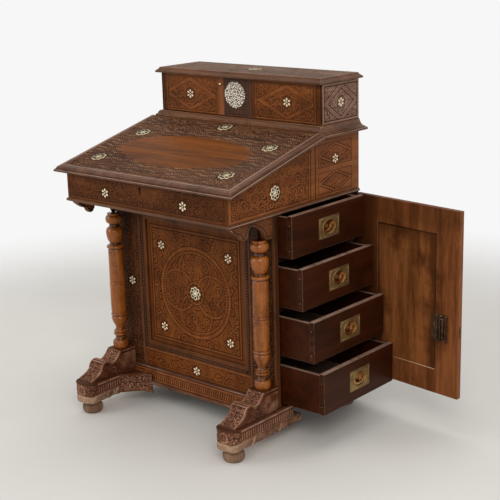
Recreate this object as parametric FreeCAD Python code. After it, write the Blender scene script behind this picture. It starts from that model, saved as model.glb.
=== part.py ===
import FreeCAD, Part
import math
import os

V = FreeCAD.Vector

# Davenport desk, millimetres. X to the right, Y to the back, Z up from the floor.
# The origin is on the floor under the middle of the writing case.

# Writing case
case_w = 625.0
case_d = 582.0
case_front_h = 85.0
case_board = 15.0
case_floor_t = 12.0
bead_out = 4.5
bead_h = 9.0
bead_drop = 0.5

# Sloping lid
lid_slope = 14.1
lid_t = 15.5
lid_over_front = 20.6
lid_over_side = 33.0
lid_mould_w = 30.0
lid_field_drop = 0.8
lid_seat_gap = 0.3
lid_rear_gap = 3.5
lid_hinge_x = 190.0
lid_hinge_len = 54.0
lid_knuckle_r = 2.6
lid_pin_r = 1.2
lid_pin_in = 2.5
lid_knuckle_gap = 0.3

# Gallery on the back of the case
gallery_d = 175.0
gallery_h = 130.0
gallery_board = 9.0
gallery_back_t = 10.0
ledge = 26.0
deck_t = 17.0
sill_h = 12.5
top_t = 16.0
top_band = 5.0
top_over_side = 10.5
top_over_front = 17.0
top_over_back = 7.5
top_inset = 10.0
gallery_door_t = 12.0
gallery_door_gap = 1.6
gallery_door_bevel = 18.0
gallery_door_bevel_drop = 4.0
gallery_pin_r = 2.0
gallery_pin_seat = 6.0
gallery_pin_in_door = 8.0
bay_right = 48.6
bay_left = 57.6
bay_gap = 0.6
bay_panel_t = 10.0
bay_panel_drop = 3.5
partition_t = 12.0
plaque_r = 40.5
plaque_t = 3.5
plaque_drop = 52.0
plaque_x = -12.0
knob_r = 4.5
knob_len = 10.0
knob_edge = 5.0
knob_drop = 22.0
door_stop = 3.4

# Pedestal
knee = 186.0
front_wall_t = 20.0
back_t = 20.0
end_t = 16.0
stile_w = 97.0
rail_recess = 2.0
rail_t = 16.0
low_rail_h = 76.0
top_rail_h = 54.0
panel_t = 8.0
panel_recess = 9.0
panel_strip_w = 23.0
panel_strip_t = 7.0
floor_t = 9.0
end_stile_w = 80.0
end_rail_h = 78.0
end_panel_recess = 4.0
end_panel_t = 8.0
dust_t = 23.5
guide_h = 25.0

# Feet and plinth
foot_in = 24.0
foot_w = 67.0
foot_front = 18.0
foot_len = 265.0
foot_nose_r = 20.0
bun_h = 38.0
bun_r = 31.0
bun_from_front = 39.0
slab_t = 22.0
slab_out = 3.0
slab_tail = 36.0
block_h = 42.0
scroll_w = 58.0
scroll_h = 68.0
volute_r = 20.0
rear_foot_len = 86.0
plinth_drop = 34.0
plinth_out = 22.0
plinth_h = 52.0
skirt_t = 16.0
gusset_len = 87.0
gusset_d = 57.0
gusset_lift = 4.0
gusset_drop = 2.0

# Columns and brackets
column_from_front = 35.0
column_r = 18.0
column_low_ring = 107.0
column_mid_ring = 210.0
column_collar = 103.0
bracket_h = 64.0
bracket_back = 9.0
bracket_t = 14.0
bracket_side_gap = 4.5
column_dowel_r = 5.0

# Drawers, counted from the top
drawer_pull = [63.0, 97.0, 135.0, 168.0]
drawer_h = 119.0
drawer_back_gap = 13.5
drawer_front_t = 16.0
drawer_side_t = 10.0
drawer_back_t = 10.0
drawer_bottom_t = 8.0
drawer_bottom_lift = 5.0
drawer_side_drop = 4.0
drawer_back_drop = 19.0
run_gap = 0.5
top_gap = 1.0
side_gap = 1.0
guide_gap = 0.8
guide_t = 20.0
drawer_door_gap = 1.5

# Brass flush pulls
pull_w = 94.0
pull_h = 60.0
pull_t = 1.6
pull_proud = 0.4
pull_cup_w = 58.0
pull_cup_h = 43.0
pull_cup_deep = 10.5
pull_wall = 1.2
pull_fit = 0.3
bail_w = 52.0
bail_h = 37.0
bail_bar = 6.0
bail_t = 3.0
bail_pin_r = 1.5
bail_sink = 3.0
pin_fit = 0.05

# Side door
door_t = 16.0
door_open = 83.5
door_top_gap = 3.5
door_bottom_gap = 1.5
door_lap = 4.0
door_edge_gap = 0.4
door_stile_w = 80.0
door_hinge_stile_w = 83.0
door_rail_h = 74.0
door_low_rail_h = 69.0
door_panel_t = 8.0
door_panel_recess = 4.0
hinge_len = 60.0
hinge_from_end = 75.0
hinge_out = 3.0
knuckle_r = 3.0
hinge_pin_r = 1.4
leaf_t = 1.2
leaf_w = 38.0
lock_w = 47.0
lock_h = 67.0
lock_t = 12.0
lock_from_edge = 37.0
lock_rise = 199.5
bolt_w = 30.0
bolt_t = 5.0
bolt_in_lock = 22.0
door_key_in = 10.0
bolt_gap = 0.5

# Lock of the lid
lid_lock_w = 48.0
lid_lock_h = 46.0
lid_lock_t = 12.0
lid_lock_drop = 6.0
lid_bolt_w = 20.0
lid_bolt_t = 4.0
lid_bolt_h = 34.0
lid_bolt_gap = 0.5
lid_mortise = 8.0
key_r = 2.5
key_slot_w = 2.6
key_slot_h = 9.0
key_rise = 70.0
key_x = -10.0

# Bone inlay
inlay_t = 0.8
small_r = 14.0
large_r = 22.0
lid_r = 24.0
panel_flower_drop = 9.0
panel_flower_in_x = 59.0
panel_flower_in_z = 88.0
stile_flower_in = 56.0
rail_flower_drop = 6.0
front_flower_x = 152.0
front_flower_z = 41.0
side_flower_y = 192.0
side_flower_z = 63.0
rear_flower_y = 116.0
rear_flower_z = 115.0
gallery_flower_drop = 60.0
gallery_flower_out = 14.0
lid_flower_in = 97.0
lid_flower_front = 98.0
lid_flower_rear = 286.0
lid_flower_back = 27.0

nodes = {}


def add(name, *solids):
    nodes[name] = list(solids)


def box(x0, x1, y0, y1, z0, z1):
    return Part.makeBox(x1 - x0, y1 - y0, z1 - z0, V(x0, y0, z0))


def prism(points, direction):
    wire = Part.makePolygon(points + [points[0]])
    return Part.Face(wire).extrude(direction)


def prism_x(outline, x0, x1):
    return prism([V(x0, y, z) for y, z in outline], V(x1 - x0, 0, 0))


def prism_y(outline, y0, y1):
    return prism([V(x, y0, z) for x, z in outline], V(0, y1 - y0, 0))


def prism_z(outline, z0, z1):
    return prism([V(x, y, z0) for x, y in outline], V(0, 0, z1 - z0))


def rod(radius, start, direction, length):
    return Part.makeCylinder(radius, length, start, direction)


def mirrored(shape):
    return shape.mirror(V(0, 0, 0), V(1, 0, 0))


def turned(profile, x, y):
    points = [V(x + r, y, z) for r, z in profile]
    points = [V(x, y, profile[0][1])] + points + [V(x, y, profile[-1][1])]
    wire = Part.makePolygon(points + [points[0]])
    return Part.Face(wire).revolve(V(x, y, 0), V(0, 0, 1), 360)


def ellipse_prism(centre, half_y, half_z, depth):
    # An ellipse in the YZ plane, carried along X by the given depth.
    if half_y >= half_z:
        curve = Part.Ellipse(centre + V(0, half_y, 0), centre + V(0, 0, half_z), centre)
    else:
        curve = Part.Ellipse(centre + V(0, 0, half_z), centre + V(0, half_y, 0), centre)
    return Part.Face(Part.Wire(curve.toShape())).extrude(V(depth, 0, 0))


def bulge(r_low, r_mid, z0, z1, steps=8):
    # Points of a rounded swelling on a turned profile.
    points = []
    for i in range(steps + 1):
        a = math.pi * i / steps
        z = (z0 + z1) / 2 - (z1 - z0) / 2 * math.cos(a)
        points.append((r_low + (r_mid - r_low) * math.sin(a), z))
    return points


def rosette(radius, petals, thickness):
    # A lobed flower that lies on the XY plane.
    valley = radius * (1 - 2.28 / petals)
    edges = []
    for i in range(petals):
        a0 = 2 * math.pi * i / petals
        a1 = 2 * math.pi * (i + 0.5) / petals
        a2 = 2 * math.pi * (i + 1) / petals
        start = V(valley * math.cos(a0), valley * math.sin(a0), 0)
        tip = V(radius * math.cos(a1), radius * math.sin(a1), 0)
        end = V(valley * math.cos(a2), valley * math.sin(a2), 0)
        edges.append(Part.Arc(start, tip, end).toShape())
    return Part.Face(Part.Wire(edges)).extrude(V(0, 0, thickness))


def rosette_on(normal, place, radius, petals):
    flower = rosette(radius, petals, inlay_t)
    turn = FreeCAD.Rotation(V(0, 0, 1), normal)
    flower.Placement = FreeCAD.Placement(place, turn)
    return flower


# Places that several parts share
half_w = case_w / 2
front_y = -case_d / 2
back_y = case_d / 2
slope = math.radians(lid_slope)
lid_front_y = front_y - lid_over_front
foot_x = half_w - foot_in
foot_top = bun_h + slab_t + block_h
floor_top = foot_top + floor_t
dust_pitch = drawer_h + run_gap + top_gap + dust_t
case_z = floor_top + len(drawer_pull) * dust_pitch - dust_t
lid_front_z = case_z + case_front_h
key_z = case_z + key_rise
column_top_z = case_z - bracket_h
lid_half = half_w + lid_over_side
gallery_y = back_y - gallery_d
joint_y = gallery_y - ledge
lid_rear_y = joint_y - lid_rear_gap


def seat_z(y):
    # Height of the lid's underside above the case.
    return lid_front_z + (y - lid_front_y) * math.tan(slope)


def lid_top_z(y):
    return seat_z(y) + lid_seat_gap + lid_t / math.cos(slope)


deck_z = seat_z(joint_y)
deck_top = deck_z + deck_t
sill_top = deck_top + sill_h
gallery_top_z = deck_top + gallery_h
ped_front = front_y + knee
ped_inner = ped_front + front_wall_t
ped_back = back_y - back_t
end_inner = half_w - end_t
foot_front_y = front_y - foot_front
column_y = ped_front - column_from_front
scroll_top = foot_top + scroll_h
rail_top_z = foot_top + low_rail_h
door_inner = half_w - door_t
plaque_z = gallery_top_z - plaque_drop
door_bottom_z = floor_top + door_bottom_gap
lock_z = door_bottom_z + lock_rise
drawer_len = door_inner - drawer_door_gap + end_inner - drawer_back_gap


def case():
    inner_w = half_w - case_board
    inner_f = front_y + case_board
    inner_b = back_y - case_board
    side_line = [(inner_f, case_z), (back_y, case_z), (back_y, deck_z), (joint_y, deck_z),
                 (inner_f, seat_z(inner_f))]
    side = prism_x(side_line, inner_w, half_w)
    add("case_sides", side, mirrored(side))
    front_line = [(front_y, case_z), (inner_f, case_z), (inner_f, seat_z(inner_f)),
                  (front_y, seat_z(front_y))]
    front = prism_x(front_line, -half_w, half_w)
    front = front.cut(keyhole(V(key_x, front_y, key_z), case_board))
    add("case_front", front)
    add("case_back", box(-inner_w, inner_w, inner_b, back_y, case_z, deck_z))
    add("case_floor", box(-inner_w, inner_w, inner_f, inner_b, case_z, case_z + case_floor_t))
    add("case_bead", *case_bead())


def keyhole(place, depth):
    hole = rod(key_r, place, V(0, 1, 0), depth)
    slot = box(place.x - key_slot_w / 2, place.x + key_slot_w / 2, place.y, place.y + depth,
               place.z - key_slot_h, place.z)
    return hole.fuse(slot)


def case_bead():
    # A rounded bead along the bottom edge, mitred at the two front corners.
    z0 = case_z - bead_drop
    z1 = z0 + bead_h
    outline = [(0, z0), (0.6 * bead_out, z0), (bead_out, z0 + 0.25 * bead_h),
               (bead_out, z0 + 0.6 * bead_h), (0.6 * bead_out, z0 + 0.9 * bead_h), (0, z1)]
    wide = half_w + bead_out
    front = prism_x([(front_y - d, z) for d, z in outline], -wide, wide)
    trapezoid = [(-half_w, front_y), (-wide, front_y - bead_out),
                 (wide, front_y - bead_out), (half_w, front_y)]
    front = front.common(prism_z(trapezoid, z0, z1))
    right = prism_y([(half_w + d, z) for d, z in outline], front_y - bead_out, back_y)
    trapezoid = [(half_w, front_y), (wide, front_y - bead_out), (wide, back_y), (half_w, back_y)]
    right = right.common(prism_z(trapezoid, z0, z1))
    return front, right, mirrored(right)


def edge_outline(width, height):
    # Ogee of the lid's edge: distance in from the edge, height above the underside.
    return [(width, 0), (1, 0), (0, 1), (0, 0.32 * height), (0.08 * width, 0.44 * height),
            (0.2 * width, 0.5 * height), (0.32 * width, 0.56 * height), (0.42 * width, 0.68 * height),
            (0.5 * width, 0.84 * height), (0.6 * width, 0.96 * height), (0.7 * width, height),
            (width, height)]


def place_on_slope(shape):
    shape.rotate(V(0, 0, 0), V(1, 0, 0), lid_slope)
    shape.translate(V(0, lid_front_y, lid_front_z + lid_seat_gap))
    return shape


def slope_point(u, v, w):
    return V(u, lid_front_y + v * math.cos(slope) - w * math.sin(slope),
             lid_front_z + lid_seat_gap + v * math.sin(slope) + w * math.cos(slope))


def lid():
    # Built flat, with its front edge on the X axis, then laid on the slope.
    reach = (lid_rear_y - lid_front_y) / math.cos(slope) + lid_t
    m = lid_mould_w
    outline = edge_outline(m, lid_t)
    front = prism_x([(d, w) for d, w in outline], -lid_half, lid_half)
    trapezoid = [(-lid_half, 0), (lid_half, 0), (lid_half - m, m), (m - lid_half, m)]
    front = front.common(prism_z(trapezoid, 0, lid_t))
    side = prism_y([(lid_half - d, w) for d, w in outline], 0, reach)
    trapezoid = [(lid_half, 0), (lid_half, reach), (lid_half - m, reach), (lid_half - m, m)]
    side = side.common(prism_z(trapezoid, 0, lid_t))
    field = box(m - lid_half, lid_half - m, m, reach, 0, lid_t - lid_field_drop)
    left = mirrored(side)
    behind = box(-2 * lid_half, 2 * lid_half, lid_rear_y, lid_rear_y + case_d, 0, 2 * deck_top)
    front = place_on_slope(front)
    side = place_on_slope(side).cut(behind)
    left = place_on_slope(left).cut(behind)
    field = place_on_slope(field).cut(behind)
    for s in (-1, 1):
        field = field.cut(lid_hinge_notch(s * lid_hinge_x))
    mortise_y = front_y + case_board + lid_lock_t / 2
    mortise_z = seat_z(mortise_y)
    field = field.cut(box(key_x - lid_bolt_w / 2 - lid_bolt_gap, key_x + lid_bolt_w / 2 + lid_bolt_gap,
                          mortise_y - lid_bolt_t, mortise_y + lid_bolt_t,
                          mortise_z - lid_t, mortise_z + lid_mortise))
    add("lid_board", field)
    add("lid_mouldings", front, side, left)


lid_pin_y = lid_rear_y - lid_pin_in
lid_pin_z = lid_top_z(lid_pin_y) - lid_knuckle_r - lid_knuckle_gap
notch_y = lid_pin_y - lid_knuckle_r - lid_knuckle_gap - leaf_t


def lid_hinge_notch(x):
    half = lid_hinge_len / 2 + lid_bolt_gap
    return box(x - half, x + half, notch_y, lid_rear_y + 1, deck_z - lid_t, lid_pin_z + 2 * lid_t)


def lid_hinges():
    fixed = []
    moving = []
    pins = []
    third = lid_hinge_len / 3
    for x in (-lid_hinge_x, lid_hinge_x):
        start = x - lid_hinge_len / 2
        bore = rod(lid_pin_r + pin_fit, V(start - 1, lid_pin_y, lid_pin_z), V(1, 0, 0), lid_hinge_len + 2)
        leaf = box(start, start + lid_hinge_len, joint_y - leaf_t, joint_y,
                   deck_z, lid_pin_z - lid_knuckle_r / 2)
        for i in (0, 2):
            x0 = start + i * third + (pin_fit if i else 0)
            x1 = start + (i + 1) * third - (0 if i else pin_fit)
            leaf = leaf.fuse(rod(lid_knuckle_r, V(x0, lid_pin_y, lid_pin_z), V(1, 0, 0), x1 - x0))
            leaf = leaf.fuse(box(x0, x1, lid_pin_y, joint_y, lid_pin_z - 0.9 * lid_knuckle_r,
                                 lid_pin_z - lid_knuckle_r / 2))
        fixed.append(leaf.removeSplitter().cut(bore))
        x0 = start + third + 0.1
        x1 = start + 2 * third - 0.1
        leaf = box(start, start + lid_hinge_len, notch_y, notch_y + leaf_t,
                   deck_z + lid_seat_gap, lid_pin_z + lid_knuckle_r / 2)
        leaf = leaf.fuse(rod(lid_knuckle_r, V(x0, lid_pin_y, lid_pin_z), V(1, 0, 0), x1 - x0))
        leaf = leaf.fuse(box(x0, x1, notch_y, lid_pin_y, lid_pin_z, lid_pin_z + lid_knuckle_r / 2))
        moving.append(leaf.removeSplitter().cut(bore))
        pins.append(rod(lid_pin_r, V(start, lid_pin_y, lid_pin_z), V(1, 0, 0), lid_hinge_len))
    add("lid_hinge_leaves", *moving)
    return fixed, pins


def lid_lock():
    y0 = front_y + case_board
    y1 = y0 + lid_lock_t
    mid = (y0 + y1) / 2
    top = seat_z(y0) - lid_lock_drop
    body = box(key_x - lid_lock_w / 2, key_x + lid_lock_w / 2, y0, y1, top - lid_lock_h, top)
    slot_w = lid_bolt_w / 2 + lid_bolt_gap
    slot_t = lid_bolt_t / 2 + lid_bolt_gap
    bolt_top = seat_z(mid) - lid_bolt_gap - 1
    foot = bolt_top - lid_bolt_h
    body = body.cut(box(key_x - slot_w, key_x + slot_w, mid - slot_t, mid + slot_t, foot - lid_bolt_gap, top))
    body = body.cut(keyhole(V(key_x, y0, key_z), lid_lock_t / 4))
    add("lid_lock_case", body)
    add("lid_lock_bolt", box(key_x - lid_bolt_w / 2, key_x + lid_bolt_w / 2, mid - lid_bolt_t / 2,
                             mid + lid_bolt_t / 2, foot, bolt_top))


def gallery():
    inner = half_w - gallery_board
    add("gallery_deck", box(-half_w, half_w, joint_y, back_y, deck_z, deck_top))
    side = box(inner, half_w, gallery_y, back_y, deck_top, gallery_top_z)
    back_in = back_y - gallery_back_t
    back = box(-inner, inner, back_in, back_y, deck_top, gallery_top_z)
    add("gallery_walls", side, mirrored(side), back)
    sill_back = gallery_y + gallery_door_t + gallery_door_gap
    h = sill_h
    nose = [(joint_y, deck_top), (joint_y, deck_top + 0.22 * h), (joint_y + 0.1 * ledge, deck_top + 0.34 * h),
            (joint_y + 0.35 * ledge, deck_top + 0.44 * h), (joint_y + 0.6 * ledge, deck_top + 0.62 * h),
            (joint_y + 0.8 * ledge, deck_top + 0.88 * h), (gallery_y, sill_top)]
    sill = prism_x(nose + [(sill_back, sill_top), (sill_back, deck_top)], -inner, inner)
    ledge_ends = prism_x(nose + [(gallery_y, deck_top)], -half_w, half_w)
    sill = sill.fuse(ledge_ends).removeSplitter()
    wide = half_w + lid_over_side
    rise = sill_top - deck_z
    o = lid_over_side
    flare = [(half_w, deck_z), (wide, deck_z), (wide, deck_z + 0.14 * rise),
             (half_w + 0.86 * o, deck_z + 0.24 * rise), (half_w + 0.62 * o, deck_z + 0.34 * rise),
             (half_w + 0.4 * o, deck_z + 0.5 * rise), (half_w + 0.24 * o, deck_z + 0.72 * rise),
             (half_w + 0.1 * o, deck_z + 0.92 * rise), (half_w, sill_top)]
    side = prism_y(flare, joint_y, back_y)
    keep = prism_x([(joint_y, deck_z)] + nose + [(back_y, sill_top), (back_y, deck_z)], half_w, wide)
    side = side.common(keep)
    sill_pins = [rod(gallery_pin_r + 0.02, V(s * door_pin_x, door_pin_y, sill_top - gallery_pin_seat),
                     V(0, 0, 1), gallery_pin_seat) for s in (-1, 1)]
    for hole in sill_pins:
        sill = sill.cut(hole)
    add("gallery_base_moulding", sill, side, mirrored(side))
    partitions = [box(bay + door_stop - partition_t, bay + door_stop, sill_back, back_in, deck_top, gallery_top_z)
                  for bay in (bay_right, bay_left)]
    add("gallery_partitions", partitions[0], mirrored(partitions[1]))
    panel_y = gallery_y + bay_panel_drop
    add("gallery_centre_panel", box(-bay_left, bay_right, panel_y, sill_back, sill_top, gallery_top_z))
    plaque = rod(plaque_r, V(plaque_x, panel_y, plaque_z), V(0, -1, 0), plaque_t)
    add("centre_plaque", plaque)
    add("gallery_top", gallery_top())


def gallery_top():
    x = half_w + top_over_side
    y0 = gallery_y - top_over_front
    y1 = back_y + top_over_back
    z = gallery_top_z
    slab = box(-x, x, y0, y1, z, z + top_band)
    levels = [(0, top_band), (0.25, 0.45 * top_t), (0.6, 0.62 * top_t), (0.85, 0.78 * top_t), (1, top_t)]
    for (i0, h0), (i1, h1) in zip(levels, levels[1:]):
        rings = []
        for i, h in ((i0, h0), (i1, h1)):
            d = i * top_inset
            ring = [V(-x + d, y0 + d, z + h), V(x - d, y0 + d, z + h),
                    V(x - d, y1 - d, z + h), V(-x + d, y1 - d, z + h)]
            rings.append(Part.makePolygon(ring + [ring[0]]))
        slab = slab.fuse(Part.makeLoft(rings, True, True))
    slab = slab.removeSplitter()
    for s in (-1, 1):
        slab = slab.cut(rod(gallery_pin_r + 0.02, V(s * door_pin_x, door_pin_y, z),
                            V(0, 0, 1), gallery_pin_seat))
    return slab


door_pin_y = gallery_y + gallery_door_t / 2
door_pin_x = half_w - gallery_board - gallery_door_t / 2 - 0.5


def gallery_doors():
    r = gallery_door_t / 2
    z0 = sill_top + gallery_door_gap
    z1 = gallery_top_z - gallery_door_gap
    y0 = gallery_y
    y1 = gallery_y + gallery_door_t
    bore = gallery_pin_r + pin_fit
    deep = gallery_pin_in_door + 0.5
    leaves = []
    for bay in (bay_right, bay_left):
        free = bay + bay_gap
        outline = [(door_pin_x, y0), (free + gallery_door_bevel, y0), (free, y0 + gallery_door_bevel_drop),
                   (free, y1), (door_pin_x, y1)]
        leaf = prism_z(outline, z0, z1)
        leaf = leaf.fuse(rod(r, V(door_pin_x, door_pin_y, z0), V(0, 0, 1), z1 - z0)).removeSplitter()
        leaf = leaf.cut(rod(bore, V(door_pin_x, door_pin_y, z0), V(0, 0, 1), deep))
        leaves.append(leaf.cut(rod(bore, V(door_pin_x, door_pin_y, z1 - deep), V(0, 0, 1), deep)))
    right = leaves[0]
    left = mirrored(leaves[1])
    knob_x = -(bay_left + bay_gap + knob_edge)
    left = left.cut(rod(0.5 * knob_r, V(knob_x, y0, knob_place_z), V(0, 1, 0), 0.5 * gallery_door_t))
    add("gallery_door_right", right)
    add("gallery_door_left", left)
    stem = rod(0.48 * knob_r, V(knob_x, y0 + 0.45 * gallery_door_t, knob_place_z), V(0, -1, 0),
               0.45 * gallery_door_t + 0.6 * knob_len)
    ball = Part.makeSphere(knob_r, V(knob_x, y0 - knob_len + knob_r, knob_place_z))
    add("gallery_knob", stem.fuse(ball).removeSplitter())
    pins = []
    for s in (-1, 1):
        low = sill_top - gallery_pin_seat
        pins.append(rod(gallery_pin_r, V(s * door_pin_x, door_pin_y, low), V(0, 0, 1),
                        z0 + gallery_pin_in_door - low))
        high = z1 - gallery_pin_in_door
        pins.append(rod(gallery_pin_r, V(s * door_pin_x, door_pin_y, high), V(0, 0, 1),
                        gallery_top_z + gallery_pin_seat - high))
    return pins


knob_place_z = gallery_top_z - knob_drop


def feet():
    bun_y = foot_front_y + bun_from_front
    rear_y = back_y - rear_foot_len / 2
    profile = [(0.82 * bun_r, 0.0), (0.95 * bun_r, 0.16 * bun_h)]
    profile += bulge(0.95 * bun_r, bun_r, 0.2 * bun_h, 0.62 * bun_h, 6)
    profile += [(0.7 * bun_r, 0.74 * bun_h), (0.66 * bun_r, 0.86 * bun_h), (0.78 * bun_r, bun_h)]
    buns = [turned(profile, s * foot_x, y) for s in (-1, 1) for y in (bun_y, rear_y)]
    add("bun_feet", *buns)
    slab_z = bun_h + slab_t
    half = foot_w / 2
    tail_y = foot_front_y + foot_len
    slab = nosed_plan(foot_x - half - slab_out, foot_x + half + slab_out, foot_front_y - slab_out,
                      tail_y + slab_tail, foot_nose_r + slab_out, bun_h, slab_z)
    add("foot_slabs", slab, mirrored(slab))
    block = nosed_plan(foot_x - half, foot_x + half, foot_front_y, tail_y, foot_nose_r, slab_z, foot_top)
    foot = block.fuse(prism_x(scroll_outline(), foot_x - scroll_w / 2, foot_x + scroll_w / 2))
    foot = foot.removeSplitter()
    add("scroll_feet", foot, mirrored(foot))
    rear = box(foot_x - half, foot_x + half, back_y - rear_foot_len, back_y, bun_h, foot_top)
    add("rear_feet", rear, mirrored(rear))
    skirt_z = foot_top - plinth_drop
    skirt = box(foot_x - skirt_t / 2, foot_x + skirt_t / 2, tail_y, back_y - rear_foot_len,
                skirt_z, foot_top)
    return slab, [skirt, mirrored(skirt)]


def nosed_plan(x0, x1, y0, y1, r, z0, z1):
    # A straight block whose two front corners are rounded.
    k = r * (1 - math.sqrt(0.5))
    edges = [
        Part.LineSegment(V(x0, y1, z0), V(x0, y0 + r, z0)).toShape(),
        Part.Arc(V(x0, y0 + r, z0), V(x0 + k, y0 + k, z0), V(x0 + r, y0, z0)).toShape(),
        Part.LineSegment(V(x0 + r, y0, z0), V(x1 - r, y0, z0)).toShape(),
        Part.Arc(V(x1 - r, y0, z0), V(x1 - k, y0 + k, z0), V(x1, y0 + r, z0)).toShape(),
        Part.LineSegment(V(x1, y0 + r, z0), V(x1, y1, z0)).toShape(),
        Part.LineSegment(V(x1, y1, z0), V(x0, y1, z0)).toShape(),
    ]
    return Part.Face(Part.Wire(edges)).extrude(V(0, 0, z1 - z0))


def scroll_outline():
    # Side view of the carved scroll: pad under the column, hollow, then the volute.
    pad_y = column_y - 1.55 * column_r
    pad_z = scroll_top
    low_z = foot_top
    centre_z = low_z + 1.45 * volute_r
    centre_y = pad_y - 3.05 * volute_r
    points = [(ped_front, low_z), (ped_front, pad_z), (pad_y, pad_z)]
    trough_y = centre_y + 1.2 * volute_r
    trough_z = centre_z + 0.5 * volute_r
    for i in range(1, 7):
        t = i / 6
        y = pad_y + (trough_y - pad_y) * t
        points.append((y, trough_z + (pad_z - trough_z) * (1 - t) ** 1.7))
    for i in range(6):
        a = math.radians(50 + 22 * i)
        points.append((centre_y + volute_r * math.cos(a), centre_z + volute_r * math.sin(a)))
    tip_y = foot_front_y + 0.6 * foot_nose_r
    neck_y = centre_y - 1.08 * volute_r
    for t, f in ((0.0, 0.9), (0.2, 0.62), (0.45, 0.4), (0.75, 0.24), (0.95, 0.12)):
        points.append((neck_y + (tip_y - neck_y) * t, low_z + (centre_z - low_z) * f))
    points.append((tip_y, low_z))
    return points


def plinth(slab, skirts):
    inner = foot_x - foot_w / 2
    z0 = foot_top - plinth_drop
    d = plinth_out
    h = plinth_h
    outline = [(ped_front, z0), (ped_front - 0.92 * d, z0), (ped_front - d, z0 + 0.06 * h),
               (ped_front - d, z0 + 0.16 * h), (ped_front - 0.78 * d, z0 + 0.24 * h),
               (ped_front - 0.66 * d, z0 + 0.5 * h), (ped_front - 0.4 * d, z0 + 0.82 * h),
               (ped_front - 0.3 * d, z0 + 0.9 * h), (ped_front - 0.12 * d, z0 + h), (ped_front, z0 + h)]
    add("plinth", prism_x(outline, -inner, inner), *skirts)
    low = bun_h + gusset_lift
    y0 = ped_front - d
    shape = [(inner, y0), (inner, y0 - gusset_d), (inner - 0.08 * gusset_len, y0 - gusset_d - 2),
             (inner - 0.6 * gusset_len, y0 - 0.1 * gusset_d), (inner - gusset_len, y0 - 3),
             (inner - gusset_len, y0)]
    gusset = prism_z(shape, low, foot_top - gusset_drop).cut(slab)
    add("corner_blocks", gusset, mirrored(gusset))


def columns():
    r = column_r
    base = scroll_top
    lower = base + column_low_ring
    middle = base + column_mid_ring
    collar = column_top_z - column_collar
    profile = [(1.15 * r, base)]
    profile += bulge(1.1 * r, 1.32 * r, base + 1, base + 26)
    profile += [(0.84 * r, base + 29), (0.8 * r, base + 35), (0.84 * r, base + 40)]
    profile += bulge(0.92 * r, 1.08 * r, base + 42, base + 57, 4)
    profile += [(0.72 * r, lower - 46), (0.68 * r, lower - 41), (0.88 * r, lower - 31), (1.18 * r, lower - 19),
                (1.31 * r, lower - 8), (1.1 * r, lower - 1)]
    profile += bulge(1.22 * r, 1.37 * r, lower, lower + 6, 4)
    profile += [(1.22 * r, lower + 8), (1.28 * r, lower + 14), (1.3 * r, middle - 5)]
    profile += bulge(1.24 * r, 1.34 * r, middle - 3, middle + 3, 4)
    profile += [(1.28 * r, middle + 6), (1.26 * r, collar - 16), (1.14 * r, collar - 7)]
    profile += bulge(1.2 * r, 1.4 * r, collar - 6, collar + 4, 6)
    profile += [(0.92 * r, collar + 6.5), (0.88 * r, collar + 10), (0.98 * r, collar + 13), (1.22 * r, collar + 22),
                (1.36 * r, collar + 34), (1.38 * r, collar + 43), (1.32 * r, collar + 54), (0.98 * r, collar + 60),
                (0.84 * r, collar + 62), (0.84 * r, collar + 68)]
    profile += bulge(0.95 * r, 1.36 * r, collar + 72, column_top_z - 6)
    profile += [(1.1 * r, column_top_z - 3), (1.1 * r, column_top_z)]
    profile += [(column_dowel_r, column_top_z), (column_dowel_r, case_z)]
    right = turned(profile, foot_x, column_y)
    add("columns", right, mirrored(right))


def brackets():
    top = case_z
    low = column_top_z
    y1 = ped_front
    reach = knee - bracket_back
    deep = top - low
    shape = [(0.0, 0.0), (0.02, 0.13), (0.09, 0.28), (0.16, 0.41), (0.24, 0.47), (0.27, 0.63),
             (0.315, 0.73), (0.37, 0.7), (0.41, 0.56), (0.435, 0.28), (0.48, 0.17), (0.54, 0.19),
             (0.64, 0.31), (0.735, 0.46), (0.79, 0.62), (0.825, 0.86), (0.85, 0.98), (0.985, 0.98),
             (1.0, 0.94), (1.0, 0.0)]
    outline = [(y1 - reach * (1 - f), top - deep * g) for f, g in shape]
    x1 = half_w - bracket_side_gap
    right = prism_x(outline, x1 - bracket_t, x1)
    add("brackets", right, mirrored(right))


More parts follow.
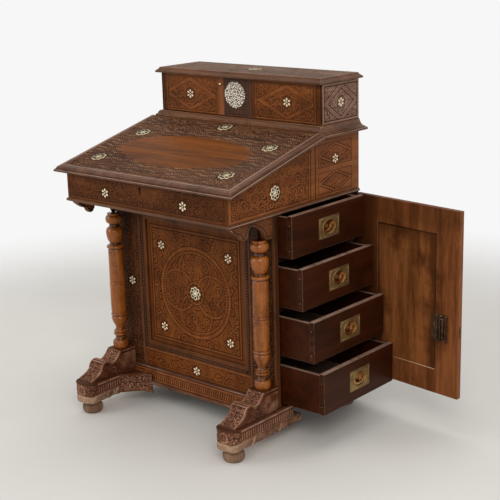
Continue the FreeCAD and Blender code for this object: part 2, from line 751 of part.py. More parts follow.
def pedestal():
    inner_x = half_w - stile_w
    z0 = foot_top
    stile = box(inner_x, half_w, ped_front, ped_inner, z0, case_z)
    rebate = box(door_inner - door_edge_gap, half_w, ped_inner - door_lap - door_edge_gap, ped_inner,
                 z0, case_z)
    y0 = ped_front + rail_recess
    y1 = y0 + rail_t
    panel_y = ped_front + panel_recess
    panel_top = case_z - top_rail_h
    add("front_frame", stile.cut(rebate), mirrored(stile),
        box(-inner_x, inner_x, y0, y1, z0, rail_top_z),
        box(-inner_x, inner_x, y0, y1, panel_top, case_z))
    add("front_panel", box(-inner_x, inner_x, panel_y, panel_y + panel_t, rail_top_z, panel_top))
    add("front_panel_strips", *panel_strips(inner_x, rail_top_z, panel_top, panel_y))
    add("pedestal_floor", box(-end_inner, door_inner - door_edge_gap, ped_inner, ped_back, z0, floor_top))
    add("pedestal_back", box(-half_w, door_inner - door_edge_gap, ped_back, back_y, z0, case_z))
    ya = ped_inner
    yb = ped_back
    frame = [box(-half_w, -end_inner, ya, ya + end_stile_w, z0, case_z),
             box(-half_w, -end_inner, yb - end_stile_w, yb, z0, case_z)]
    ya += end_stile_w
    yb -= end_stile_w
    frame.append(box(-half_w, -end_inner, ya, yb, z0, z0 + end_rail_h))
    frame.append(box(-half_w, -end_inner, ya, yb, case_z - end_rail_h, case_z))
    add("end_frame", *frame)
    x0 = -half_w + end_panel_recess
    add("end_panel", box(x0, x0 + end_panel_t, ya, yb, z0 + end_rail_h, case_z - end_rail_h))
    shelves = []
    guides = []
    x1 = door_inner - drawer_door_gap
    for i in range(len(drawer_pull)):
        base = floor_top + i * dust_pitch
        y_guide = ped_back - guide_t + guide_gap
        guides.append(box(-end_inner, x1, y_guide, ped_back, base, base + guide_h))
        if i:
            shelves.append(box(-end_inner, x1, ped_inner, ped_back, base - dust_t, base))
    add("dust_boards", *shelves)
    add("drawer_guides", *guides)


def panel_strips(half, z0, z1, face_y):
    # A mitred frame of four strips on the face of the front panel.
    w = panel_strip_w
    ya = face_y - panel_strip_t
    inner = half - w
    low = prism_y([(-half, z0), (half, z0), (inner, z0 + w), (-inner, z0 + w)], ya, face_y)
    high = prism_y([(-half, z1), (half, z1), (inner, z1 - w), (-inner, z1 - w)], ya, face_y)
    right = prism_y([(half, z0), (half, z1), (inner, z1 - w), (inner, z0 + w)], ya, face_y)
    return low, high, right, mirrored(right)


def drawers():
    y0 = ped_inner + side_gap
    y1 = ped_back - guide_t
    count = len(drawer_pull)
    for i, pulled in enumerate(drawer_pull):
        n = i + 1
        z0 = floor_top + (count - n) * dust_pitch + run_gap
        x1 = door_inner - drawer_door_gap + pulled
        x0 = x1 - drawer_len
        xf = x1 - drawer_front_t
        face = box(xf, x1, y0, y1, z0, z0 + drawer_h)
        centre = V(x1, (y0 + y1) / 2, z0 + drawer_h / 2)
        t = drawer_side_t
        top = z0 + drawer_h - drawer_side_drop
        xb = x0 + drawer_back_t
        zb = z0 + drawer_bottom_lift
        boards = [face.cut(pull_pocket(centre)),
                  box(x0, xf, y0, y0 + t, z0, top), box(x0, xf, y1 - t, y1, z0, top),
                  box(x0, xb, y0 + t, y1 - t, z0, z0 + drawer_h - drawer_back_drop),
                  box(xb, xf, y0 + t, y1 - t, zb, zb + drawer_bottom_t)]
        add("drawer_%d" % n, *boards)
        add("pull_%d_plate" % n, pull_plate(centre))
        add("pull_%d_bail" % n, bail(centre))


def pull_pocket(c):
    w = pull_w / 2 + pull_fit
    h = pull_h / 2 + pull_fit
    deep = pull_t - pull_proud
    flat = box(c.x - deep, c.x + 1, c.y - w, c.y + w, c.z - h, c.z + h)
    a = pull_cup_w / 2 + pull_fit
    b = pull_cup_h / 2 + pull_fit
    cup = ellipse_prism(V(c.x - pull_cup_deep - pull_fit, c.y, c.z), a, b, pull_cup_deep + 1)
    return flat.fuse(cup)


def pull_plate(c):
    deep = pull_t - pull_proud
    a = pull_cup_w / 2
    b = pull_cup_h / 2
    plate = box(c.x - deep, c.x + pull_proud, c.y - pull_w / 2, c.y + pull_w / 2,
                c.z - pull_h / 2, c.z + pull_h / 2)
    low = V(c.x - pull_cup_deep, c.y, c.z)
    plate = plate.fuse(ellipse_prism(low, a, b, pull_cup_deep - deep / 2))
    floor = low + V(pull_wall, 0, 0)
    plate = plate.cut(ellipse_prism(floor, a - pull_wall, b - pull_wall, pull_cup_deep + 1))
    axis = V(c.x - bail_sink, c.y - a - 1, c.z)
    return plate.removeSplitter().cut(rod(bail_pin_r + pin_fit, axis, V(0, 1, 0), 2 * a + 2))


def bail(c):
    # The lower half of an oval ring, with a pin at each end that turns in the cup's wall.
    x = c.x - bail_sink
    ring = ellipse_prism(V(x - bail_t / 2, c.y, c.z), bail_w / 2, bail_h / 2, bail_t)
    ring = ring.cut(ellipse_prism(V(x - bail_t, c.y, c.z), bail_w / 2 - bail_bar,
                                  bail_h / 2 - bail_bar, 2 * bail_t))
    ring = ring.common(box(x - bail_t, x + bail_t, c.y - pull_w, c.y + pull_w,
                           c.z - pull_h, c.z + bail_pin_r))
    pin_end = pull_cup_w / 2 - 0.2
    for s in (-1, 1):
        start = V(x, c.y + s * (bail_w / 2 - bail_bar + 1), c.z)
        ring = ring.fuse(rod(bail_pin_r, start, V(0, s, 0), pin_end - bail_w / 2 + bail_bar - 1))
    return ring.removeSplitter()


pin_x = half_w + hinge_out
pin_y = back_y + hinge_out


def opened(shape):
    # From the closed place to the open one, about the hinge pins.
    shape.rotate(V(pin_x, pin_y, 0), V(0, 0, 1), door_open)
    return shape


def side_door():
    x0 = door_inner
    x1 = half_w
    z0 = door_bottom_z
    z1 = case_z - door_top_gap
    free_y = ped_inner - door_lap
    ya = free_y + door_stile_w
    yb = back_y - door_hinge_stile_w
    free_stile = box(x0, x1, free_y, ya, z0, z1)
    lock_y0 = free_y + lock_from_edge
    mid_x = (x0 + x1) / 2
    channel = box(mid_x - bolt_t / 2 - bolt_gap, mid_x + bolt_t / 2 + bolt_gap, free_y,
                  lock_y0 + bolt_in_lock + bolt_gap, lock_z - bolt_w / 2 - bolt_gap,
                  lock_z + bolt_w / 2 + bolt_gap)
    free_stile = free_stile.cut(channel)
    key = rod(key_r, V(x0 - lock_t / 2, lock_y0 + bolt_in_lock + door_key_in, lock_z), V(1, 0, 0),
              door_t + lock_t)
    boards = [free_stile.cut(key), box(x0, x1, yb, back_y, z0, z1),
              box(x0, x1, ya, yb, z0, z0 + door_low_rail_h),
              box(x0, x1, ya, yb, z1 - door_rail_h, z1)]
    add("door_frame", *[opened(board) for board in boards])
    px = x0 + door_panel_recess
    panel = box(px, px + door_panel_t, ya, yb, z0 + door_low_rail_h, z1 - door_rail_h)
    add("door_panel", opened(panel))
    body = box(x0 - lock_t, x0, lock_y0, lock_y0 + lock_w, lock_z - lock_h / 2, lock_z + lock_h / 2)
    add("door_lock_case", opened(body.cut(key)))
    bolt = box(mid_x - bolt_t / 2, mid_x + bolt_t / 2, free_y + bolt_gap, lock_y0 + bolt_in_lock,
               lock_z - bolt_w / 2, lock_z + bolt_w / 2)
    add("door_lock_bolt", opened(bolt))
    return door_hinges(z0, z1)


def door_hinges(z0, z1):
    fixed = []
    moving = []
    pins = []
    third = hinge_len / 3
    for base in (z0 + hinge_from_end, z1 - hinge_from_end - hinge_len):
        bore = rod(hinge_pin_r + pin_fit, V(pin_x, pin_y, base - 1), V(0, 0, 1), hinge_len + 2)
        near = pin_x - knuckle_r - 0.8
        leaf = box(near - leaf_w, near, back_y, back_y + leaf_t, base, base + hinge_len)
        for i in (0, 2):
            a = base + i * third + (0.1 if i else 0)
            b = base + (i + 1) * third - (0 if i else 0.1)
            leaf = leaf.fuse(rod(knuckle_r, V(pin_x, pin_y, a), V(0, 0, 1), b - a))
            leaf = leaf.fuse(box(near, pin_x, back_y, back_y + leaf_t, a, b))
        fixed.append(leaf.removeSplitter().cut(bore))
        near = pin_y - knuckle_r - 0.8
        plate = box(half_w, half_w + leaf_t, near - leaf_w, near, base, base + hinge_len)
        a = base + third
        b = base + 2 * third
        plate = plate.fuse(rod(knuckle_r, V(pin_x, pin_y, a), V(0, 0, 1), b - a))
        plate = plate.fuse(box(half_w, half_w + leaf_t, near, pin_y, a, b))
        moving.append(opened(plate.removeSplitter().cut(bore)))
        pins.append(rod(hinge_pin_r, V(pin_x, pin_y, base), V(0, 0, 1), hinge_len))
    add("door_hinge_leaves", *moving)
    return fixed, pins


def inlays():
    forward = V(0, -1, 0)
    right = V(1, 0, 0)
    panel_y = ped_front + panel_recess
    rail_y = ped_front + rail_recess
    mid_z = (rail_top_z + case_z - top_rail_h) / 2 - panel_flower_drop
    spread_x = half_w - stile_w - panel_strip_w - panel_flower_in_x
    spread_z = (case_z - top_rail_h - rail_top_z) / 2 - panel_flower_in_z
    flowers = [rosette_on(forward, V(0, panel_y, mid_z), large_r, 8)]
    for sx in (-1, 1):
        for sz in (-1, 1):
            place = V(sx * spread_x, panel_y, mid_z + sz * spread_z)
            flowers.append(rosette_on(forward, place, small_r, 6))
        stile_x = sx * (half_w - stile_flower_in)
        flowers.append(rosette_on(forward, V(stile_x, ped_front, mid_z), small_r, 6))
        flowers.append(rosette_on(forward, V(sx * front_flower_x, front_y, case_z + front_flower_z),
                                  small_r, 6))
        side = V(sx, 0, 0)
        x = sx * half_w
        flowers.append(rosette_on(side, V(x, front_y + side_flower_y, case_z + side_flower_z), large_r, 8))
        flowers.append(rosette_on(side, V(x, back_y - rear_flower_y, case_z + rear_flower_z), small_r, 6))
        flowers.append(rosette_on(side, V(x, back_y - gallery_d / 2, gallery_top_z - gallery_flower_drop),
                                  small_r, 6))
    low_z = (foot_top + plinth_h - plinth_drop + rail_top_z) / 2 - rail_flower_drop
    flowers.append(rosette_on(forward, V(0, rail_y, low_z), small_r, 6))
    top_y = (gallery_y - top_over_front + back_y + top_over_back) / 2
    flowers.append(rosette_on(V(0, 0, 1), V(0, top_y, gallery_top_z + top_t), large_r, 8))
    add("inlays_carcase", *flowers)
    w = lid_t - lid_field_drop
    normal = V(0, -math.sin(slope), math.cos(slope))
    reach = (lid_rear_y - lid_front_y) / math.cos(slope)
    spread = lid_half - lid_flower_in
    places = [(s * spread, v) for s in (-1, 1) for v in (lid_flower_front, lid_flower_rear)]
    places.append((0.0, reach - lid_flower_back))
    add("inlays_lid", *[rosette_on(normal, slope_point(u, v, w), lid_r, 8) for u, v in places])
    middle = [(door_pin_x + bay) / 2 + gallery_flower_out for bay in (bay_right, bay_left)]
    z = gallery_top_z - gallery_flower_drop
    add("inlay_gallery_right", rosette_on(forward, V(middle[0], gallery_y, z), small_r, 6))
    add("inlay_gallery_left", rosette_on(forward, V(-middle[1], gallery_y, z), small_r, 6))


case()
lid()
lid_fixed, lid_pins = lid_hinges()
lid_lock()
gallery()
gallery_pins = gallery_doors()
foot_slab, skirts = feet()
plinth(foot_slab, skirts)
columns()
brackets()
pedestal()
drawers()
door_fixed, door_pins = side_door()
add("hinge_leaves_fixed", *lid_fixed, *door_fixed)
add("hinge_pins", *lid_pins, *door_pins, *gallery_pins)
inlays()

os.makedirs("parts", exist_ok=True)
for name, solids in nodes.items():
    shape = solids[0] if len(solids) == 1 else Part.makeCompound(solids)
    shape.exportStep("parts/%s.step" % name)
print(len(nodes), "nodes")
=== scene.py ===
import math
import bpy
import bmesh
import numpy as np
from mathutils import Matrix, Vector


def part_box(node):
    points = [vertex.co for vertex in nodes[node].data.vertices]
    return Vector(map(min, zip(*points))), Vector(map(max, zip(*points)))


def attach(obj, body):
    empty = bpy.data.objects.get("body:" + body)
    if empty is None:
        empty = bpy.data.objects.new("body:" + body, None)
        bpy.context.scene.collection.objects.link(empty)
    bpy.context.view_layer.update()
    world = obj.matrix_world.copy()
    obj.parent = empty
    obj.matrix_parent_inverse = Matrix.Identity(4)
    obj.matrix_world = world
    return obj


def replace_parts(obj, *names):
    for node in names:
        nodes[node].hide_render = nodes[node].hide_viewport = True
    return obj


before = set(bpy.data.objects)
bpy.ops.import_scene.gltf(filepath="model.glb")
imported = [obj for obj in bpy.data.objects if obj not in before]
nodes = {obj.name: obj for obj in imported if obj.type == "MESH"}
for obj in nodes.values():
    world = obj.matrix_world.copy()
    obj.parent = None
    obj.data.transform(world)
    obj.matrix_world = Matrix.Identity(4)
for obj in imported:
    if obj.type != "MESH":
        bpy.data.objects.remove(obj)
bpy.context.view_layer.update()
print("frame loaded:", len(nodes), "nodes")


def tone(red, green, blue, share=1.0):
    # an everyday 0 to 255 colour as the linear one that shaders use
    parts = [c / 255 for c in (red, green, blue)]
    parts = [c / 12.92 if c <= 0.04045 else ((c + 0.055) / 1.055) ** 2.4 for c in parts]
    return tuple(c * share for c in parts) + (1.0,)


class Wire:
    def __init__(self, tree, socket=None):
        self.tree = tree
        self.socket = socket

    def node(self, kind, settings=None, inputs=None, out=0):
        made = self.tree.nodes.new(kind)
        for key, value in (settings or {}).items():
            setattr(made, key, value)
        for key, value in (inputs or {}).items():
            if isinstance(value, Wire):
                self.tree.links.new(value.socket, made.inputs[key])
            else:
                made.inputs[key].default_value = value
        return Wire(self.tree, made.outputs[out])

    def calc(self, operation, first, second):
        return self.node("ShaderNodeMath", {"operation": operation}, {0: first, 1: second})

    def __add__(self, other):
        return self.calc("ADD", self, other)

    def __radd__(self, other):
        return self.calc("ADD", other, self)

    def __rsub__(self, other):
        return self.calc("SUBTRACT", other, self)

    def __mul__(self, other):
        return self.calc("MULTIPLY", self, other)

    def held(self):
        return self.node("ShaderNodeClamp", None, {0: self})

    def between(self, low, high):
        # 0 below low, 1 above high, an eased slope between
        return self.node("ShaderNodeMapRange", {"interpolation_type": "SMOOTHSTEP"},
                         {0: self, 1: low, 2: high, 3: 0.0, 4: 1.0})

    def blend(self, under, over):
        # self is the share of the colour on top
        return self.node("ShaderNodeMix", {"data_type": "RGBA"}, {0: self, 6: under, 7: over}, 2)

    def dot(self, direction):
        return self.node("ShaderNodeVectorMath", {"operation": "DOT_PRODUCT"}, {0: self, 1: direction}, "Value")

    def stretched(self, x, y, z):
        return self.node("ShaderNodeVectorMath", {"operation": "MULTIPLY"}, {0: self, 1: (x, y, z)})

    def noise(self, scale, detail, rough, twist=0.0):
        return self.node("ShaderNodeTexNoise", None, {"Vector": self, "Scale": scale, "Detail": detail,
                                                      "Roughness": rough, "Distortion": twist})

    def bump(self, strength, distance, normal=None):
        inputs = {"Strength": strength, "Distance": distance, "Height": self}
        if normal:
            inputs["Normal"] = normal
        return self.node("ShaderNodeBump", None, inputs)


def newFinish(name):
    finish = bpy.data.materials.new(name)
    finish.use_nodes = True
    tree = finish.node_tree
    return finish, tree.nodes["Principled BSDF"], Wire(tree).node("ShaderNodeTexCoord", out="Object")


def feed(wire, shader, name):
    wire.tree.links.new(wire.socket, shader.inputs[name])


grainStretch = {"X": (0.09, 1.0, 1.0), "Y": (1.0, 0.09, 1.0), "Z": (1.0, 1.0, 0.09)}
skyward = (0.0, 0.0, 1.0)


def woodFinish(name, dark, light, worn, grain="X", wear=0.6, edge=0.0025, gloss=(0.38, 0.62), sheen=0.2, coat=0.0,
               carved=None, plain=None, figure=26.0, litAndRubbedTop=0.0, paintedShade=()):
    # carved colours the cut-away ground and plain an uncarved field; the top option lightens level faces with painted
    # top light and some rub, and the shade option darkens one side with painted shade
    finish, shader, place = newFinish(name)
    deep, dark, light = tone(*dark, 0.6), tone(*dark), tone(*light)
    along = place.stretched(*grainStretch[grain])
    bands = along.noise(figure, 5.0, 0.6, 0.7)
    pores = along.noise(figure * 9, 3.0, 0.7)
    blotch = place.noise(9.0, 4.0, 0.6)
    share = (bands * 0.7 + pores * 0.3).between(0.34, 0.68)
    colour = share.blend(dark, light)
    colour = blotch.between(0.5, 0.75).blend(colour, share.blend(deep, dark))
    # painted shade: each entry darkens the colour towards one side of the piece
    for direction, clear, darkened, amount in paintedShade:
        colour = (place.dot(direction).between(clear, darkened) * amount).blend(colour, deep)
    speck = place.noise(150.0, 3.0, 0.7)
    true = place.node("ShaderNodeNewGeometry", out="True Normal")
    rounded = None
    if plain:
        field = place.node("ShaderNodeAttribute", {"attribute_name": "plain"}, out="Fac")
        colour = field.blend(colour, share.blend(*(tone(*c) for c in plain)))
    if carved:
        relief = place.node("ShaderNodeAttribute", {"attribute_name": "relief"}, out="Fac")
        sunk = (1 - relief).between(0.1, 0.9) * (0.7 + speck * 0.5)
        rubbed = relief.between(0.72, 1.0) * place.noise(34.0, 4.0, 0.65).between(0.36, 0.72) * wear
        if plain:
            sunk = sunk * (1 - field)
            rubbed = rubbed * (1 - field)
        colour = sunk.held().blend(colour, tone(*carved))
    else:
        rounded = place.node("ShaderNodeBevel", {"samples": 6}, {"Radius": edge})
        rubbed = (1 - rounded.dot(true)).between(0.015, 0.2) * place.noise(22.0, 5.0, 0.7).between(0.25, 0.58) * wear
    # painted top light with some rub: level faces turn towards the worn colour
    if litAndRubbedTop:
        level = true.dot(skyward).between(0.8, 0.95)
        rubbed = (rubbed + level * place.noise(14.0, 5.0, 0.7).between(0.2, 0.6) * litAndRubbedTop).held()
    feed(rubbed.blend(colour, tone(*worn)), shader, "Base Color")
    feed((gloss[0] + (speck * 0.3 + blotch * 0.7) * (gloss[1] - gloss[0])).held(), shader, "Roughness")
    shader.inputs["Specular IOR Level"].default_value = sheen
    shader.inputs["Specular Tint"].default_value = (1.0, 0.78, 0.58, 1.0)
    shader.inputs["Coat Weight"].default_value = coat
    shader.inputs["Coat Roughness"].default_value = 0.16
    feed((pores * 0.6 + bands * 0.4).bump(0.22, 0.0006, rounded), shader, "Normal")
    return finish


def brassFinish(name, bright, tarnish, rough, spread=(0.42, 0.66)):
    finish, shader, place = newFinish(name)
    stain = place.noise(70.0, 6.0, 0.7).between(*spread)
    fine = place.noise(420.0, 3.0, 0.6)
    feed(stain.blend(tone(*bright), tone(*tarnish)), shader, "Base Color")
    feed((rough[0] + stain * (rough[1] - rough[0]) + fine * 0.08).held(), shader, "Roughness")
    feed(1 - stain * 0.35, shader, "Metallic")
    feed((fine + stain).bump(0.25, 0.0003), shader, "Normal")
    return finish


def boneFinish(name, pale, aged, dullAbove=9.0):
    # dullAbove is a height in metres, over which the bone is made darker
    finish, shader, place = newFinish(name)
    stain = place.noise(130.0, 5.0, 0.65)
    fibre = place.stretched(1.0, 1.0, 0.2).noise(700.0, 2.0, 0.6)
    colour = (stain * 0.8 + fibre * 0.2).between(0.42, 0.7).blend(tone(*pale), tone(*aged))
    darkened = place.dot(skyward).between(dullAbove, dullAbove + 0.01) * 0.7
    feed(darkened.blend(colour, tone(*aged, 0.5)), shader, "Base Color")
    feed((0.34 + stain * 0.25).held(), shader, "Roughness")
    feed(fibre.bump(0.15, 0.0002), shader, "Normal")
    return finish


finishes = {
    "case": woodFinish("caseWood", (74, 38, 15), (106, 58, 25), (152, 108, 76), "X", 0.6, sheen=0.1),
    "caseSide": woodFinish("caseSideWood", (84, 44, 19), (116, 66, 32), (158, 114, 80), "Y", 0.6),
    "moulding": woodFinish("mouldingWood", (70, 40, 23), (104, 65, 42), (172, 134, 110), "X", 0.85, gloss=(0.3, 0.5),
                           sheen=0.25),
    "mouldingSide": woodFinish("mouldingSideWood", (70, 42, 28), (104, 68, 48), (176, 138, 112), "Y", 0.85,
                               gloss=(0.3, 0.5), sheen=0.2),
    "mouldingUp": woodFinish("mouldingUprightWood", (92, 56, 38), (128, 84, 60), (176, 138, 112), "Z", 0.8,
                             gloss=(0.3, 0.5), sheen=0.3),
    "lidField": woodFinish("lidFieldWood", (60, 36, 23), (90, 58, 40), (140, 104, 80), "X", 0.4),
    # the upright's top is darkened with painted shade
    "upright": woodFinish("uprightWood", (62, 33, 16), (96, 55, 29), (150, 108, 80), "Z", 0.6,
                          paintedShade=((skyward, 0.56, 0.63, 0.9),)),
    "strip": woodFinish("stripWood", (72, 38, 17), (104, 58, 28), (150, 108, 80), "Z", 0.5),
    "bay": woodFinish("bayWood", (48, 27, 18), (76, 45, 32), (120, 86, 68), "Z", 0.4),
    "panel": woodFinish("panelWood", (80, 43, 18), (112, 63, 30), (150, 104, 66), "Z", 0.5),
    "column": woodFinish("columnWood", (96, 46, 8), (162, 87, 22), (162, 98, 42), "Z", 0.5, gloss=(0.16, 0.36),
                         sheen=0.3, coat=0.35, carved=(48, 21, 7)),
    "foot": woodFinish("footWood", (58, 28, 14), (85, 44, 25), (126, 84, 60), "Y", 0.8, gloss=(0.45, 0.75)),
    "slab": woodFinish("slabWood", (76, 45, 31), (116, 77, 57), (160, 122, 96), "Y", 0.6, gloss=(0.55, 0.85),
                       sheen=0.12, carved=(176, 144, 118)),
    "bun": woodFinish("bunWood", (108, 80, 61), (150, 120, 98), (184, 156, 132), "Z", 0.9, 0.005, gloss=(0.55, 0.85),
                      sheen=0.15),
    # the drawer's level faces get painted top light with some rub
    "drawer": woodFinish("drawerWood", (40, 15, 4), (62, 25, 8), (154, 123, 106), "Y", 0.7, 0.003, gloss=(0.34, 0.55),
                         sheen=0.14, litAndRubbedTop=0.9),
    "drawerEnd": woodFinish("drawerEndGrain", (46, 21, 9), (70, 35, 17), (96, 64, 44), "Z", 0.4, figure=60.0,
                            sheen=0.15),
    # the door panel darkens towards its edges and top with painted shade
    "door": woodFinish("doorWood", (86, 46, 20), (150, 91, 48), (150, 100, 62), "Z", 0.4, 0.003, gloss=(0.42, 0.7),
                       sheen=0.12, paintedShade=(((1.0, 0.0, 0.0), 0.575, 0.612, 0.55), (skyward, 0.52, 0.6, 0.75),
                                          ((-1.0, 0.0, 0.0), -0.44, -0.39, 0.4))),
    # the door frame darkens towards its hinge stile and top with painted shade
    "doorFrame": woodFinish("doorFrameWood", (88, 46, 20), (142, 84, 45), (164, 118, 80), "Z", 0.45, 0.003,
                            gloss=(0.42, 0.7), sheen=0.15,
                            paintedShade=(((-1.0, 0.0, 0.0), -0.42, -0.37, 0.95), (skyward, 0.58, 0.62, 0.45))),
    "doorEdge": woodFinish("doorEdgeWood", (172, 126, 88), (204, 164, 130), (200, 168, 138), "Z", 0.6,
                           gloss=(0.5, 0.75), sheen=0.15),
    "plain": woodFinish("plainWood", (58, 35, 21), (88, 56, 36), (120, 90, 68), "Z", 0.4, gloss=(0.5, 0.8), sheen=0.15),
    "shade": woodFinish("shadedWood", (20, 11, 6), (34, 19, 11), (40, 24, 15), "Z", 0.3, gloss=(0.6, 0.9), sheen=0.03),
    # a lighter facing: rubbed wear and painted light on lit faces
    "doorStile": woodFinish("rubbedAndLitStile", (110, 62, 36), (150, 92, 58), (172, 118, 82), "Z", 0.4, sheen=0.12),
    "inside": woodFinish("insideWood", (34, 18, 10), (54, 30, 17), (96, 68, 48), "X", 0.3, gloss=(0.5, 0.8),
                         sheen=0.15),
    "panelCarved": woodFinish("panelCarving", (98, 50, 17), (130, 71, 28), (154, 96, 48), "Z", 0.4, carved=(56, 26, 8),
                              sheen=0.1),
    "lidCarved": woodFinish("lidCarving", (74, 42, 24), (114, 73, 45), (172, 132, 98), "X", 0.8, sheen=0.08,
                            carved=(16, 8, 4), plain=((76, 39, 6), (116, 61, 11))),
    "caseCarved": woodFinish("caseCarving", (70, 35, 13), (98, 52, 22), (128, 80, 44), "X", 0.4, carved=(44, 21, 8),
                             sheen=0.08),
    "sideCarved": woodFinish("sideCarving", (112, 59, 26), (147, 86, 44), (158, 108, 70), "Y", 0.4, carved=(62, 31, 14),
                             sheen=0.12),
    "doorCarved": woodFinish("galleryCarving", (106, 56, 22), (142, 80, 37), (164, 108, 60), "X", 0.4,
                             carved=(58, 28, 11), sheen=0.12),
    "endCarved": woodFinish("galleryEndCarving", (122, 86, 69), (166, 129, 109), (170, 138, 120), "Y", 0.5,
                            carved=(44, 26, 18), sheen=0.15),
    # a darker copy of the gallery end's carving for the level top: painted shade against the top lamp's light
    "topCarved": woodFinish("galleryTopCarving", (84, 58, 40), (114, 84, 62), (140, 110, 94), "X", 0.4, sheen=0.1,
                            carved=(44, 28, 18)),
    # a pale finish for painted highlights
    "edgeHighlight": woodFinish("paintedEdgeHighlight", (132, 100, 84), (164, 132, 114), (190, 162, 146), "X", 0.5,
                            gloss=(0.35, 0.55)),
    # the stile carving darkens towards its top with painted shade
    "stileCarved": woodFinish("stileCarving", (70, 37, 18), (106, 60, 32), (130, 88, 58), "Z", 0.4, carved=(30, 15, 8),
                              sheen=0.12, paintedShade=((skyward, 0.53, 0.61, 0.8),)),
    "bayCarved": woodFinish("bayCarving", (56, 31, 20), (82, 47, 31), (120, 86, 68), "Z", 0.4, carved=(34, 17, 10)),
    "footCarved": woodFinish("footCarving", (110, 67, 49), (156, 106, 80), (186, 150, 128), "Y", 0.75,
                             gloss=(0.45, 0.75), carved=(58, 32, 21)),
    "cheekCarved": woodFinish("cheekCarving", (67, 31, 15), (95, 48, 26), (160, 120, 94), "Y", 0.6, gloss=(0.4, 0.65),
                              carved=(44, 22, 12)),
    "brass": brassFinish("agedBrass", (158, 130, 84), (104, 82, 50), (0.36, 0.6)),
    "knobBrass": brassFinish("knobBrass", (238, 208, 152), (190, 150, 92), (0.14, 0.3)),
    "darkBrass": brassFinish("hingeBrass", (84, 62, 38), (48, 34, 22), (0.4, 0.6)),
    "brassBail": brassFinish("rubbedBrass", (176, 142, 92), (128, 96, 58), (0.24, 0.36), (0.5, 0.85)),
    "copper": brassFinish("cupCopper", (138, 90, 48), (104, 66, 34), (0.16, 0.24), (0.5, 0.85)),
    "iron": brassFinish("lockIron", (112, 84, 60), (64, 42, 26), (0.5, 0.75), (0.3, 0.6)),
    "bone": boneFinish("agedBone", (244, 232, 198), (204, 178, 128), 0.99),
    # a darker copy of the bone for the lid: painted shade, as its level faces take more light
    "shadedLidBone": boneFinish("shadedLidBone", (206, 190, 152), (160, 134, 88)),
    "whiteBone": boneFinish("plaqueBone", (244, 238, 224), (208, 192, 160)),
    "plaqueGround": boneFinish("plaqueGround", (104, 84, 64), (54, 42, 32)),
    "mastic": woodFinish("blackMastic", (18, 12, 8), (28, 19, 13), (36, 25, 17), "Z", 0.3, sheen=0.03),
}
print("finishes:", len(finishes))


def newPiece(name, mesh, finish, body="carcase", smoothed=True):
    made = bpy.data.meshes.new(name)
    made.from_pydata(mesh[0], [], mesh[1])
    made.materials.append(finishes[finish])
    made.polygons.foreach_set("use_smooth", [smoothed] * len(made.polygons))
    piece = bpy.data.objects.new(name, made)
    bpy.context.scene.collection.objects.link(piece)
    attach(piece, body)
    return piece


def mark(piece, name, values):
    # a number at each point, which the finish reads
    made = piece.data.attributes.new(name, "FLOAT", "POINT")
    made.data.foreach_set("value", np.asarray(values, np.float32).ravel())


def corners(node):
    low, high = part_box(node)
    return np.array(low) * 1000, np.array(high) * 1000


def ease(x, low, high):
    t = np.clip((x - low) / (high - low), 0, 1)
    return t * t * (3 - 2 * t)


def ridge(distance, half, soft=1.6):
    return 1 - ease(np.abs(distance), half - soft / 2, half + soft / 2)


def scrolls(u, v, cell, pitch=7.4, rub=0.3, pit=0.6):
    # feathered leaves on a bent, staggered lattice: fine arcs round each eye, pits between them, rubbed in places
    bentU = u + 0.16 * cell * np.sin(v * 2.9 / cell + 0.7)
    bentV = v + 0.16 * cell * np.sin(u * 2.3 / cell + 1.9)
    rowHeight = cell * 0.866
    j = np.round(bentV / rowHeight)
    shift = np.mod(j, 2) * 0.5 * cell
    i = np.round((bentU - shift) / cell)
    own = np.mod(np.abs(np.sin(i * 12.9898 + j * 78.233)) * 437.58, 1.0)  # each leaf's own fixed number
    du = bentU - shift - i * cell + 0.22 * cell * np.cos(own * 40)
    dv = bentV - j * rowHeight + 0.22 * cell * np.sin(own * 40)
    r = np.hypot(du, dv)
    a = np.arctan2(dv, du) * np.where(own > 0.5, 1, -1)
    arcs = np.cos(2 * math.pi * r / (pitch * (0.85 + 0.3 * own)) - a)
    veins = np.cos(a * 11 + r * 0.4)
    lines = ease(arcs * 0.7 + veins * 0.5, 0.45 * pit - 0.8, 0.45 * pit)
    rim = 0.5 * cell * (0.84 + 0.16 * np.cos(3 * a + own * 6.3))
    dots = np.cos(bentU * 0.86 + 0.9 * np.sin(bentV * 0.31)) * np.cos(bentV * 0.93 + 0.9 * np.sin(bentU * 0.27))
    relief = np.where(r < rim, lines, 0.9 - (0.25 + 0.6 * pit) * ease(dots, -0.05, 0.4))
    relief = relief * (1 - 0.85 * ridge(r - rim, 0.9))
    rubbed = ease(np.sin(u / 47 + 1.3 * np.sin(v / 38)) + np.sin(v / 41 + 1.1 * np.sin(u / 52 + 2)), -0.6, 1.2)
    return 1 - (1 - relief) * (1 - rub * rubbed)


def stepped(d, rest, *levels):
    # each level is a limit with the value below it, and the rest comes past the last limit
    for limit, value in reversed(levels):
        rest = np.where(d < limit, value, rest)
    return rest


def toEdge(u, v, width, height):
    return np.minimum(np.minimum(u, width - u), np.minimum(v, height - v))


def framed(u, v, width, height, margin, field):
    # a plain raised rim round a carved field, with a sunk line inside the rim
    return stepped(toEdge(u, v, width, height), field, (margin, 0.9), (margin + 2.5, 0.05))


def lozenge(relief, u, v, centreU, centreV, halfU, halfV, half, line=True, cut=0.0, flat=1.0):
    # a flat band along the sides of a diamond, with a cut line on each side of it and one along its middle
    d = (np.abs(u - centreU) / halfU + np.abs(v - centreV) / halfV - 1) * halfU * halfV / math.hypot(halfU, halfV)
    relief = np.where((np.abs(d) >= half) & (np.abs(d) < half + 2.6), np.minimum(relief, cut), relief)
    relief = np.where(np.abs(d) < half, 0.92 * flat + relief * (1 - flat), relief)
    return np.where((np.abs(d) < 1.0) & line, 0.25, relief), d


def calmed(relief, u, v, flowers):
    # the carving lies flat under each inlaid flower
    for fu, fv, r in flowers:
        relief = stepped(np.hypot(u - fu, v - fv), relief, (r + 1.5, 0.6), (r + 4.5, 0.1))
    return relief


